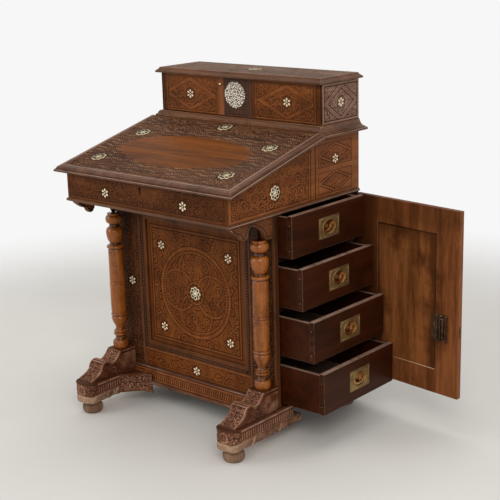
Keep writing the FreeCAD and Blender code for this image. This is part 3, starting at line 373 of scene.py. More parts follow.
def carvedSkin(name, path, across, height, field, finish, depth, step=2.0, top=None, plain=None, body="carcase"):
    # a carved face laid on a board: path runs along it, across is its other edge, all in mm
    points = np.array(path, float)
    across = np.array(across, float)
    run = np.concatenate([[0.0], np.cumsum(np.linalg.norm(np.diff(points, axis=0), axis=1))])
    s = np.linspace(0, run[-1], int(run[-1] / step) + 2)
    line = np.stack([np.interp(s, run, points[:, k]) for k in range(3)], 1)
    outward = np.cross(np.gradient(line, axis=0), across)
    outward /= np.linalg.norm(outward, axis=1)[:, None]
    reach = np.full(len(s), float(height)) if top is None else top(s)
    rows = int(reach.max() / step) + 2
    u, t = np.meshgrid(s, np.linspace(0, 1, rows), indexing="ij")
    v = t * reach[:, None]
    relief = np.clip(field(u, v), 0, 1)
    lift = 0.15 + depth * relief
    lift[0, :] = lift[-1, :] = -0.2
    lift[:, 0] = lift[:, -1] = -0.2
    place = line[:, None, :] + across * v[..., None] + outward[:, None, :] * lift[..., None]
    index = np.arange(len(s) * rows).reshape(len(s), rows)
    faces = np.stack([index[:-1, :-1], index[1:, :-1], index[1:, 1:], index[:-1, 1:]], -1).reshape(-1, 4)
    piece = newPiece(name, ((place.reshape(-1, 3) / 1000).tolist(), faces.tolist()), finish, body)
    mark(piece, "relief", relief)
    if plain:
        mark(piece, "plain", plain(u, v))


def skinRings(faces, first, count, rings, caps=2, closed=False):
    # quads between rings of points that follow one another; 2 caps close both ends, 1 the last one
    for i in range(rings if closed else rings - 1):
        n = (i + 1) % rings
        for k in range(count):
            m = (k + 1) % count
            faces.append((first + i * count + k, first + i * count + m, first + n * count + m, first + n * count + k))
    if caps > 1:
        faces.append(tuple(first + k for k in reversed(range(count))))
    if caps:
        faces.append(tuple(first + (rings - 1) * count + k for k in range(count)))


def turns(count):
    return [2 * math.pi * k / count for k in range(count)]


def polar(r, t):
    return r * math.cos(t), r * math.sin(t)


def tube(mesh, points, radius, sides=8, closed=False):
    # adds a round tube along the points (mm) to the mesh
    verts, faces = mesh
    points = np.array(points, float)
    tangent = np.gradient(points, axis=0)
    if closed:
        tangent = np.roll(points, -1, 0) - np.roll(points, 1, 0)
    tangent /= np.linalg.norm(tangent, axis=1)[:, None]
    side = np.cross(tangent, [0.31, 0.22, 0.93])  # any direction that no tube follows
    side /= np.linalg.norm(side, axis=1)[:, None]
    other = np.cross(tangent, side)
    first = len(verts)
    for p, a, b in zip(points, side, other):
        verts += [tuple((p + radius * (math.cos(t) * a + math.sin(t) * b)) / 1000) for t in turns(sides)]
    skinRings(faces, first, sides, len(points), 0 if closed else 2, closed)


def straight(a, b):
    a, b = np.array(a), np.array(b)
    return [a + (b - a) * t for t in (0, 0.5, 1)]


def lathe(mesh, profile, centre, sides):
    # profile: radius and height in mm, from the foot up
    verts, faces = mesh
    first = len(verts)
    for r, z in profile:
        for x, y in (polar(r, t) for t in turns(sides)):
            verts.append(((centre[0] + x) / 1000, (centre[1] + y) / 1000, z / 1000))
    skinRings(faces, first, sides, len(profile))


def dome(mesh, centre, normal, across, outline, height, rings=3, shrink=0.5):
    # a low dome over a closed flat outline given in the plane of across and normal x across
    verts, faces = mesh
    up, a = np.array(normal, float), np.array(across, float)
    b = np.cross(up, a)
    first = len(verts)
    mid = np.mean(np.array(outline), 0)
    for k in range(rings + 1):
        f = k / rings
        scale = 1 - shrink * f * f
        h = height * math.sin(f * math.pi / 2)
        for x, y in outline:
            p = np.array(centre) + a * (mid[0] + (x - mid[0]) * scale) + b * (mid[1] + (y - mid[1]) * scale) + up * h
            verts.append(tuple(p / 1000))
    skinRings(faces, first, len(outline), rings + 1, 1)


def loft(name, runs, finish, body="carcase"):
    # moulding made of outlines (mm) carried from place to place, capped at both ends
    verts, faces = [], []
    for stations in runs:
        first = len(verts)
        for outline in stations:
            verts += [tuple(c / 1000 for c in p) for p in outline]
        skinRings(faces, first, len(stations[0]), len(stations))
    piece = newPiece(name, (verts, faces), finish, body)
    shell = bmesh.new()
    shell.from_mesh(piece.data)
    bmesh.ops.recalc_face_normals(shell, faces=shell.faces)
    shell.to_mesh(piece.data)
    shell.free()
    piece.data.set_sharp_from_angle(angle=math.radians(38))
    return piece


def raised(plan, z0, z1):
    # a plan carried from one height to another, as a run for loft
    return [[(x, y, z) for x, y in plan] for z in (z0, z1)]


def curve(a, b, c, steps=7):
    # points on a soft bend from a to c, drawn towards b
    return [tuple((1 - t) ** 2 * p + 2 * t * (1 - t) * q + t * t * r for p, q, r in zip(a, b, c))
            for t in np.linspace(0, 1, steps)]


def oval(radiusA, radiusB, at=(0.0, 0.0), turn=0.0, count=14):
    points = []
    for t in turns(count):
        x, y = radiusA * math.cos(t), radiusB * math.sin(t)
        points.append((at[0] + x * math.cos(turn) - y * math.sin(turn),
                       at[1] + x * math.sin(turn) + y * math.cos(turn)))
    return points


def islands(node):
    # the points of each separate solid in a CAD node, in mm
    probe = bmesh.new()
    probe.from_mesh(nodes[node].data)
    bmesh.ops.remove_doubles(probe, verts=probe.verts, dist=1e-6)
    found = []
    left = set(probe.verts)
    while left:
        island = []
        heap = [left.pop()]
        while heap:
            vert = heap.pop()
            island.append(vert.co[:])
            for e in vert.link_edges:
                other = e.other_vert(vert)
                if other in left:
                    left.remove(other)
                    heap.append(other)
        found.append(np.array(island) * 1000)
    probe.free()
    return found


flower = {"smallPetals": 6, "largePetals": 8, "lift": 2.1, "doorLift": 1.9, "largeFrom": 18.0, "lidHole": 0.215}
behindFlowers = {"inlays_carcase": (0, 60, 400), "inlays_lid": (0, -100, 400),
                 "inlay_gallery_left": (-200, 200, 940), "inlay_gallery_right": (200, 200, 940)}


def flowerPlaces(node):
    # seat, outward normal and radius of each inlaid flower in a CAD node, in mm
    found = []
    for p in sorted(islands(node), key=lambda q: tuple(q.mean(0).round(1))):
        centre = (p.min(0) + p.max(0)) / 2
        normal = np.linalg.svd(p - p.mean(0), full_matrices=False)[2][2]
        if np.dot(normal, centre - np.array(behindFlowers[node])) < 0:
            normal = -normal
        flat = p - centre - np.outer((p - centre) @ normal, normal)
        found.append((centre - normal * 0.4, normal, np.linalg.norm(flat, axis=1).max()))
    return found


def inlayFlowers(node, body, lift, finish="bone", hole=0.185):
    bone, dark = ([], []), ([], [])
    for seat, normal, r in flowerPlaces(node):
        up = Vector(normal)
        across = up.orthogonal().normalized() if abs(up.z) > 0.99 else Vector((0, 0, 1)).cross(up).normalized()
        lie = (normal, np.array(across))
        if r > flower["largeFrom"]:
            petals = flower["largePetals"]
            ring = [polar(r * (0.7 + 0.25 * abs(math.cos(t * petals / 2)) ** 0.8), t) for t in turns(petals * 8)]
            dome(bone, seat, *lie, ring, lift, 2, 0.05)
            for t in turns(petals):
                gap = t + math.pi / petals
                for shape in (oval(hole * r, 1.06 * hole * r, polar(0.61 * r, t), t),
                              oval(0.13 * r, 0.06 * r, polar(0.31 * r, gap), gap)):
                    dome(dark, seat + normal * lift - normal * 0.3, *lie, shape, 0.42, 1, 0.08)
        else:
            dome(dark, seat, *lie, oval(0.3 * r, 0.3 * r), lift * 0.75, 1, 0.1)
            for t in turns(flower["smallPetals"]):
                t += math.pi / 6
                dome(bone, seat, *lie, oval(0.33 * r, 0.205 * r, polar(0.66 * r, t), t), lift, 3, 0.35)
            dome(bone, seat, *lie, oval(0.18 * r, 0.18 * r), lift, 3, 0.35)
    petalsPiece = newPiece(node + ".petals", bone, finish, body)
    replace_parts(petalsPiece, node)
    newPiece(node + ".dots", dark, "mastic", body)


inlayFlowers("inlays_carcase", "carcase", flower["lift"])
inlayFlowers("inlays_lid", "lid", flower["lift"], "shadedLidBone", flower["lidHole"])
for side in ("left", "right"):
    inlayFlowers("inlay_gallery_" + side, "gallery_door_" + side, flower["doorLift"])
print("inlaid flowers placed")


def flowersOn(point, alongU=(1, 0, 0), alongV=(0, 0, 1), node="inlays_carcase", reach=12.0):
    # the flowers that lie on one face, in that face's own two directions
    point, alongU, alongV = (np.array(a, float) for a in (point, alongU, alongV))
    face = np.cross(alongU, alongV)
    found = []
    for seat, normal, r in flowerPlaces(node):
        if abs(np.dot(seat - point, face)) < reach and abs(np.dot(normal, face)) > 0.9:
            found.append((float(np.dot(seat - point, alongU)), float(np.dot(seat - point, alongV)), float(r)))
    return found


def leafBoard(name, start, width, height, margin, leaves, finish, depth, step=2.0, across=(0, 0, 1), reach=12.0,
              rise=0.5):
    # a board with leaf scrolls inside a plain rim; leaves: cell, pitch, rub and pit of the scrolls
    spots = flowersOn(start, (1, 0, 0), across, reach=reach)

    def field(u, v):
        leaf = scrolls(u - width / 2, v - rise * height, *leaves)
        return framed(u, v, width, height, margin, calmed(leaf, u, v, spots))

    end = (start[0] + width, start[1], start[2])
    carvedSkin(name, [start, end], across, height, field, finish, depth, step)


slant = {"angle": math.radians(14.1), "frontY": -311.6, "seatZ": 748.5}  # the plane that the lid lies on


def seatLine(y):
    return slant["seatZ"] + (y - slant["frontY"]) * math.tan(slant["angle"])


# sloping lid: carved round a plain polished oval
lidCarving = {"edgeWidth": 22.5, "thick": 15.5, "ovalHalfWidth": 244.0, "ovalHalfDepth": 104.0, "ovalFromFront": 173.0,
              "margin": 2.0, "cell": 34.0, "strokePitch": 9.0}


def carveLid():
    c = lidCarving
    sine, cosine = math.sin(slant["angle"]), math.cos(slant["angle"])
    low, high = corners("lid_mouldings")
    width = high[0] - low[0] - 2 * c["edgeWidth"] - 0.6
    across = np.array((0, cosine, sine))
    start = np.array((-width / 2, low[1] + c["thick"] * sine, low[2])) + across * (c["edgeWidth"] + 0.3)
    start = start + np.array((0, -sine, cosine)) * (c["thick"] - 0.8)
    depth = (corners("lid_board")[1][1] - start[1]) / cosine - 7.5
    flowers = flowersOn(start, (1, 0, 0), across, "inlays_lid")
    centreU, centreV = width / 2, c["ovalFromFront"]
    halfU, halfV = c["ovalHalfWidth"], c["ovalHalfDepth"]

    def spread(u, v):
        return np.hypot((u - centreU) / halfU, (v - centreV) / halfV)

    def worn(u, v):
        # the carving is rubbed away over the oval, with a ragged edge
        angle = np.arctan2((v - centreV) / halfV, (u - centreU) / halfU)
        ragged = 0.35 + 0.65 * ease(-angle, -0.6, 0.4)
        nicks = ragged * (0.03 * np.sin(angle * 23) + 0.02 * np.sin(angle * 41 + 1))
        return 1 - ease(spread(u, v) + nicks + 0.015 * np.sin(angle * 5 + 1), 0.92, 1.06)

    def field(u, v):
        x, y = u - centreU, v - centreV
        leaves = scrolls(x, y, c["cell"], 9.8, 0.05, 0.9)
        waved = x + 2.6 * np.sin(y / 7) + 2.2 * np.sin(y / 2.3 + x / 17)
        strokes = np.cos(2 * math.pi * waved / c["strokePitch"]) + 0.7 * np.cos(y / 3.1 + 1.3 * np.sin(x / 9))
        part = ease(np.sin(x / 43 + 1.4 * np.sin(y / 31)) + 0.5 * np.sin(y / 19), -0.15, 0.15)
        part = part * ease(spread(u, v), 1.3, 1.5)
        relief = leaves * part + ease(strokes, -0.2, 0.7) * (1 - part)
        bare = worn(u, v)
        relief = calmed(relief * (1 - bare) + 0.9 * bare, u, v, flowers)
        return framed(u, v, width, depth, c["margin"], relief)

    carvedSkin("lidCarving", [start, start + np.array((width, 0, 0))], across, depth, field, "lidCarved", 1.7,
               plain=worn, body="lid")


# writing case: leaf scrolls on the front, panels on the two sides
caseCarving = {"margin": 7.0, "frontLeaves": (30.0, 7.4, 0.5, 0.4), "sideLeaves": (40.0, 8.0, 0.3, 0.8),
               "grooveY": 58.0,
               "fieldFront": 91.0, "fieldBack": 258.0, "fieldSplit": 754.0, "upperTop": 832.0}


def carveCase():
    c = caseCarving
    low, high = corners("case_front")
    base = low[2] + 10.0
    leafBoard("caseFrontCarving", (low[0] + 3, low[1], base), high[0] - low[0] - 6, seatLine(low[1]) - base - 1.5,
              c["margin"], c["frontLeaves"], "caseCarved", 1.5)
    sideHigh = corners("case_sides")[1]
    front, back, groove = low[1] + 3, sideHigh[1] - 2, c["grooveY"]
    midY, half = (c["fieldFront"] + c["fieldBack"]) / 2, (c["fieldBack"] - c["fieldFront"]) / 2
    split, roof = c["fieldSplit"], c["upperTop"]
    for label, sign in (("right", 1), ("left", -1)):
        x = sign * sideHigh[0]
        run = [(x, front, base), (x, back, base)][::sign]

        def depthY(u):
            return front + u if sign > 0 else back - u

        def topAt(s):
            return np.minimum(seatLine(depthY(s)), sideHigh[2]) - base - 2.0

        spots = flowersOn(run[0], (0, sign, 0))

        def sideField(u, v):
            y, z = depthY(u), v + base
            d = np.minimum(np.minimum(y - front, groove - y), np.minimum(v, topAt(u) - v))
            relief = stepped(d, scrolls(y + 99, z - 727, *c["sideLeaves"]), (8, 0.9), (10.5, 0.05))
            for z0, z1, plainCorners in ((base + 4, split - 3, True), (split + 3, roof, False)):
                midZ, halfZ = (z0 + z1) / 2, (z1 - z0) / 2
                inside = np.minimum(half - np.abs(y - midY), halfZ - np.abs(z - midZ))
                leaves = scrolls(y - midY, z - midZ, 22.0, 7.5)
                fill, away = lozenge(leaves, y, z, midY, midZ, half - 9, halfZ - 8, 2.4, False)
                fill = np.where((away > 5) & plainCorners, 0.85, fill)
                fill = stepped(inside, fill, (4, 0.9), (6, 0.05), (8.5, 0.9))
                relief = np.where((inside > 0) & (y > groove), fill, relief)
            between = (y > groove) & ((np.abs(y - midY) > half) | (z > roof) | (np.abs(z - split) < 3))
            relief = np.where(between, 0.85, relief)
            relief = np.where(np.abs(y - groove) < 2.2, 0.0, relief)
            relief = np.where(np.abs(y - groove - 22) < 1.6, 0.05, relief)
            return calmed(relief, u, v, spots)

        carvedSkin("caseSideCarving." + label, run, (0, 0, 1), 0, sideField, "sideCarved", 1.6, 2.0, topAt)


# gallery: lozenges on the two doors and both ends, leaf scrolls on the top
galleryCarving = {"doorMargin": 4.0, "doorOuter": 296.0, "sunkEdge": 5.9, "endMargin": 6.0, "endLow": 880.5,
                  "cell": 22.0, "pitch": 7.0, "band": 5.0, "endBand": 5.4}


def carveGallery():
    c = galleryCarving
    for side, sign in (("left", -1), ("right", 1)):
        low, high = corners("gallery_door_" + side)
        inner, outer = (low[0] if sign > 0 else -high[0]) + 19.3, c["doorOuter"]
        x0, x1 = (inner, outer) if sign > 0 else (-outer, -inner)
        z0, z1 = low[2] + 1.5, high[2] - 1.5
        width, height = x1 - x0, z1 - z0
        spots = flowersOn((x0, low[1], z0), node="inlay_gallery_" + side)
        centreU, centreV = spots[0][:2]

        def doorField(u, v):
            halfU, halfV = min(centreU, width - centreU) - 8, min(centreV, height - centreV) - 8
            relief = scrolls(u - centreU, v - centreV, c["cell"], c["pitch"])
            relief = lozenge(relief, u, v, centreU, centreV, halfU, halfV, c["band"], False, 0.5, 0.7)[0]
            edge = width - u if sign > 0 else u
            framedU = u if sign > 0 else u - c["sunkEdge"]
            relief = calmed(relief, u, v, spots)
            relief = framed(framedU, v, width - c["sunkEdge"], height, c["doorMargin"], relief)
            return np.where(edge < c["sunkEdge"], 0.0, relief)  # low there, so the open door clears the wall

        carvedSkin("galleryDoorCarving." + side, [(x0, low[1], z0), (x1, low[1], z0)], (0, 0, 1), height, doorField,
                   "doorCarved", 1.2, 1.7, body="gallery_door_" + side)
        low, high = corners("gallery_walls")
        x, z0 = sign * high[0], c["endLow"]
        y0, y1 = low[1] + 2, high[1] - 2
        run = [(x, y0, z0), (x, y1, z0)][::sign]
        long, tall = y1 - y0, high[2] - 2 - z0
        ends = [f for f in flowersOn(run[0], (0, sign, 0)) if 0 < f[0] < long and 0 < f[1] < tall]

        def endField(u, v):
            midU, midV = ends[0][:2]
            relief = scrolls(u - long / 2, v - tall / 2, c["cell"], c["pitch"])
            relief = lozenge(relief, u, v, midU, midV, long / 2 - 12, min(midV, tall - midV) - 6, c["endBand"])[0]
            return framed(u, v, long, tall, c["endMargin"], calmed(relief, u, v, ends))

        carvedSkin("galleryEndCarving." + side, run, (0, 0, 1), tall, endField, "endCarved", 1.5, 1.7)
    low, high = corners("gallery_top")
    x, y0, y1 = high[0] - 15, low[1] + 15, high[1] - 15
    leafBoard("galleryTopCarving", (-x, y0, high[2]), 2 * x, y1 - y0, 8.0, (36.0,), "topCarved", 0.9, 2.6, (0, 1, 0))
    low, high = corners("gallery_walls")
    # a dark strip of painted shade along each gallery end's front edge
    x0, x1, y0, y1 = high[0] - 5.0, high[0] - 1.6, low[1] + 0.3, low[1] - 0.2
    front = [(x0, y0), (x0, y1), (x1, y1), (x1, y0)]
    loft("galleryEdgeShade", [raised([(sign * x, y) for x, y in front], 881.0, high[2] - 0.5) for sign in (-1, 1)],
         "shade")
    low, high = corners("gallery_centre_panel")
    leafBoard("bayCarving", low + (0.5, 0, 0.5), high[0] - low[0] - 1, high[2] - low[2] - 1, 4.0, (20.0, 7.0),
              "bayCarved", 0.8, rise=0.0)
    low, high = corners("gallery_door_left")
    x, y = high[0], low[1]
    edge = [(x - 18.2, y + 0.15), (x - 18.0, y - 0.25), (x - 0.1, y + 3.7), (x - 0.1, y + 4.3)]
    # the bevel's lighter facing is painted light on the lit reveal
    loft("doorBevelFacing", [raised(edge, low[2] + 0.3, high[2] - 0.3)], "doorStile", "gallery_door_left")


# pedestal front: ringed medallion in the panel, leaf scrolls on the frame
panelCarving = {"strip": 23.4, "ring": 136.0, "ringBand": 4.5, "loop": 62.0, "loopOut": 67.0, "cell": 38.0, "rim": 12.0,
                "stileLeaves": (34.0, 8.0, 0.1, 0.9), "stileLow": 124.0, "railLow": 121.5}


def carvePedestal():
    c = panelCarving
    low, high = corners("front_panel")
    x0, x1 = low[0] + c["strip"], high[0] - c["strip"]
    z0, z1 = low[2] + c["strip"], high[2] - c["strip"]
    width, height = x1 - x0, z1 - z0
    spots = flowersOn((x0, low[1], z0))
    centreU, centreV = min(spots, key=lambda f: abs(f[0] - width / 2) - f[2])[:2]

    def field(u, v):
        du, dv = u - centreU, v - centreV
        r = np.hypot(du, dv)
        a = np.arctan2(dv, du)
        relief = scrolls(du, dv, c["cell"], 8.6)
        relief = np.where(r > c["ring"], scrolls(np.abs(du) + 7, np.abs(dv) + 4, 44.0, 9.5), relief)
        loops = np.zeros_like(u)
        clear = np.zeros_like(u, bool)
        for x, y in (polar(c["loopOut"], t) for t in turns(4)):
            q = np.hypot(du - x, dv - y) - c["loop"]
            loops = np.maximum(loops, ridge(q, 3.4))
            clear |= np.abs(q) < 5.2
        relief = np.where(clear, loops * 0.95, relief)
        for radius, half in ((c["ring"], c["ringBand"]), (c["ring"] - 13, 2.2), (33.0, 2.4)):
            relief = np.where(np.abs(r - radius) < half + 2.0, ridge(r - radius, half) * 0.97, relief)
        relief = np.where(np.abs(r - c["ring"] + 7) < 3.4, ease(np.cos(a * 96), -0.3, 0.5), relief)
        relief = np.where((r > 26) & (r < 30), ease(np.cos(a * 12), -0.4, 0.4), relief)
        rim = c["rim"]
        relief = stepped(toEdge(u, v, width, height), relief, (rim, 0.55), (rim + 3, 0.02), (rim + 9, 0.9),
                         (rim + 11.5, 0.05))
        return calmed(relief, u, v, spots)

    carvedSkin("frontPanelCarving", [(x0, low[1], z0), (x1, low[1], z0)], (0, 0, 1), height, field, "panelCarved", 1.9,
               1.8)
    frameLow, frameHigh = corners("front_frame")
    inner = high[0]
    wide, base = frameHigh[0] - 2 - (inner + 1.5), c["stileLow"]
    for label, x in (("left", -frameHigh[0] + 2), ("right", inner + 1.5)):
        leafBoard("stileCarving." + label, (x, frameLow[1], base), wide, frameHigh[2] - 1.5 - base, 6.0,
                  c["stileLeaves"], "stileCarved", 1.5)
    for label, base, top in (("low", c["railLow"], low[2] - 3.0), ("top", high[2] + 2, frameHigh[2] - 1)):
        leafBoard("railCarving." + label, (-inner + 2, frameLow[1] + 2.0, base), 2 * inner - 4, top - base, 5.0,
                  (46.0,),
                  "panelCarved", 1.3, reach=1.5)


carveLid()
print("lid carved")
carveCase()
print("case carved")
carveGallery()
print("gallery carved")
carvePedestal()
print("pedestal carved")


toFront = ((0, -1, 0), (1, 0, 0))  # outward and across on a face that looks to the front
beadRows = {"pitch": 8.4, "radius": 3.2, "height": 2.4, "inset": 6.5,
            "channel": ((-5, 0.2), (-5, -0.3), (5, -0.3), (5, 0.2))}


def beadStrips():
    # a row of small beads in a dark channel along the outer side of each strip round the front panel
    b = beadRows
    low, high = corners("front_panel_strips")
    x, y, z0, z1 = high[0] - b["inset"], low[1], low[2] + b["inset"], high[2] - b["inset"]
    places, runs, mesh = [], [], ([], [])
    for sign in (-1, 1):
        places += [(sign * x, y, z0 + k * b["pitch"]) for k in range(int((z1 - z0) / b["pitch"]) + 1)]
        runs.append(raised([(sign * x + wide, y + out) for wide, out in b["channel"]], z0 - 5, z1 + 5))
    for z in (z0, z1):
        places += [(-x + k * b["pitch"], y, z) for k in range(1, int(2 * x / b["pitch"]))]
        runs.append([[(end, y + out, z + wide) for wide, out in b["channel"]] for end in (-x + 5, x - 5)])
    for place in places:
        dome(mesh, place, *toFront, oval(b["radius"], b["radius"], count=10), b["height"], 2)
    newPiece("panelBeads", mesh, "strip")
    loft("beadChannel", runs, "inside")


plaque = {"radius": 40.5, "boss": (2.0, 4.3), "tries": 6000}


def roundPlaque():
    # a pierced disc: pale bosses scattered close together over a dark ground
    low, high = corners("centre_plaque")
    centre = np.array(((low[0] + high[0]) / 2, high[1], (low[2] + high[2]) / 2))
    ground, bone, taken = ([], []), ([], []), []
    r = plaque["radius"]
    dome(ground, centre, *toFront, oval(r, r, count=72), 2.8, 2, 0.05)
    chance = np.random.default_rng(5)
    for attempt in range(plaque["tries"]):
        size = chance.uniform(*plaque["boss"])
        x, z = chance.uniform(-r, r, 2)
        if math.hypot(x, z) < r - size and all(math.hypot(x - p, z - q) > 0.94 * (size + t) for p, q, t in taken):
            taken.append((x, z, size))
            boss = oval(size, size * 0.88, count=9, turn=chance.uniform(0, 3))
            dome(bone, centre + (x, -2.6, z), *toFront, boss, 1.3, 2, 0.4)
    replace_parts(newPiece("plaqueDisc", ground, "plaqueGround"), "centre_plaque")
    newPiece("plaqueBosses", bone, "whiteBone")


keyLining = {"radius": 4.4, "slotWidth": 5.0, "slotHeight": 16.0, "x": -10.0, "z": 733.5}


def keyhole():
    k = keyLining
    shape = [polar(k["radius"], t) for t in np.linspace(-1.0, math.pi + 1.0, 14)]
    shape += [(sign * k["slotWidth"] / 2, -k["slotHeight"]) for sign in (-1, 1)]
    mesh = ([], [])
    dome(mesh, (k["x"], corners("case_front")[0][1], k["z"]), *toFront, shape, 1.8, 1, 0.0)
    newPiece("keyholeLining", mesh, "mastic")


turning = {"radius": 18.0, "sides": 56, "dowel": 5.0, "dowelRise": 64.0, "lower": 107, "middle": 210, "collar": 103,
           "lowerUrn": ((0.72, 61), (0.68, 66), (0.74, 71), (0.88, 76), (1.05, 82), (1.18, 88), (1.27, 94), (1.31, 99),
                        (1.26, 103), (1.1, 106)),
           "upperUrn": ((0.98, 13), (1.1, 17), (1.22, 22), (1.33, 29), (1.4, 36), (1.44, 43), (1.42, 49), (1.33, 54),
                        (1.16, 58), (0.98, 60), (0.84, 62), (0.84, 68))}


def swell(small, large, z0, z1, steps=18):
    arc = [math.pi * i / steps for i in range(steps + 1)]
    return [(small + (large - small) * math.sin(a), (z0 + z1) / 2 - (z1 - z0) / 2 * math.cos(a)) for a in arc]


def turnedColumns():
    t, r = turning, turning["radius"]
    low, high = corners("columns")
    base, top = low[2], high[2] - t["dowelRise"]
    lower, middle, collar = base + t["lower"], base + t["middle"], top - t["collar"]

    def plain(*points):
        return [(share * r, z) for share, z in points]

    def bulge(small, large, z0, z1, steps=18):
        return swell(small * r, large * r, z0, z1, steps)

    profile = plain((1.15, base)) + bulge(1.1, 1.32, base + 1, base + 26)
    profile += plain((0.84, base + 29), (0.8, base + 35), (0.84, base + 40)) + bulge(0.95, 1.1, base + 42, base + 49, 8)
    profile += plain((0.9, base + 50.5)) + bulge(0.92, 1.04, base + 51.5, base + 57, 8)
    profile += plain(*((share, base + z) for share, z in t["lowerUrn"])) + bulge(1.22, 1.37, lower, lower + 6, 10)
    profile += plain((1.22, lower + 8), (1.28, lower + 14), (1.3, middle - 5), (1.22, middle - 3.5))
    profile += bulge(1.26, 1.34, middle - 3, middle + 3, 10) + plain((1.2, middle + 3.8), (1.28, middle + 6))
    profile += plain((1.26, collar - 16), (1.22, collar - 9), (1.14, collar - 7))
    profile += bulge(1.2, 1.46, collar - 6, collar + 4, 10) + plain((0.92, collar + 6.5), (0.88, collar + 10))
    profile += plain(*((share, collar + z) for share, z in t["upperUrn"])) + bulge(0.98, 1.42, collar + 72, top - 6)
    profile += plain((1.1, top - 3), (1.1, top)) + [(t["dowel"], top)]
    fine = [profile[0]]
    for (r0, z0), (r1, z1) in zip(profile, profile[1:]):
        steps = max(1, int((z1 - z0) / 4))
        fine += [(r0 + (r1 - r0) * k / steps, z0 + (z1 - z0) * k / steps) for k in range(1, steps + 1)]
    mesh, pins = ([], []), ([], [])
    for sign in (-1, 1):
        centre = (sign * (high[0] - 1.4 * r), (low[1] + high[1]) / 2)
        lathe(mesh, fine, centre, t["sides"])
        lathe(pins, [(t["dowel"], top - 2), (t["dowel"], high[2])], centre, 24)
    # the dowels take the shade finish: painted shade in the dark arch over each column
    newPiece("columnDowels", pins, "shade")
    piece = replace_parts(newPiece("turnedColumns", mesh, "column"), "columns")
    radii, heights = np.array(fine).T
    around = np.array([np.interp(np.linspace(z - 7, z + 7, 15), heights, radii).mean() for z in heights])
    dip = np.clip(1 - (around - radii) / 2.4, 0, 1)  # 0 in a neck or groove
    # necks and grooves get the column finish's dark carved colour: painted shade
    mark(piece, "relief", np.tile(np.repeat(dip, t["sides"]), 2))


bun = {"radius": 31.0, "neck": ((0.88, 0.68), (0.7, 0.74), (0.66, 0.84), (0.7, 0.92), (0.78, 1.0))}


def bunFeet():
    low, high = corners("bun_feet")
    r, tall = bun["radius"], high[2]
    profile = [(0.78 * r, 0.0), (0.86 * r, 1.2), (0.95 * r, 0.16 * tall)]
    profile += swell(0.95 * r, r, 0.2 * tall, 0.62 * tall, 12)
    profile += [(a * r, b * tall) for a, b in bun["neck"]]
    mesh = ([], [])
    for sign in (-1, 1):
        for y in (low[1] + r, high[1] - r):
            lathe(mesh, profile, (sign * (high[0] - r), y), 40)
    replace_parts(newPiece("bunFeet", mesh, "bun"), "bun_feet")


footCarving = {"gadroon": 9.5, "centreX": 288.5, "half": 33.5, "noseY": -309.0, "tailY": -45.0, "corner": 20.0,
               "blockLow": 60.0, "blockTop": 102.0, "scrollHalf": 29.0, "padY": -167.9, "padZ": 170.0,
               "padBack": -107.0,
               "eye": 20.0, "leaves": (20.0, 8.0, 0.0, 1.0), "toe": ((0.0, 0.9), (0.2, 0.62), (0.45, 0.4), (0.75, 0.24),
                                                                    (0.95, 0.12))}


def gadroons(u, v, height, pitch):
    # a plain fillet, a row of upright flutes, then a plain moulding along the top
    flute = ease(np.cos(u * 2 * math.pi / pitch), -0.6, 0.3) * 0.9
    return stepped(v, 0.9, (4, 0.85), (6, 0.05), (0.66 * height, flute), (0.72 * height, 0.02))


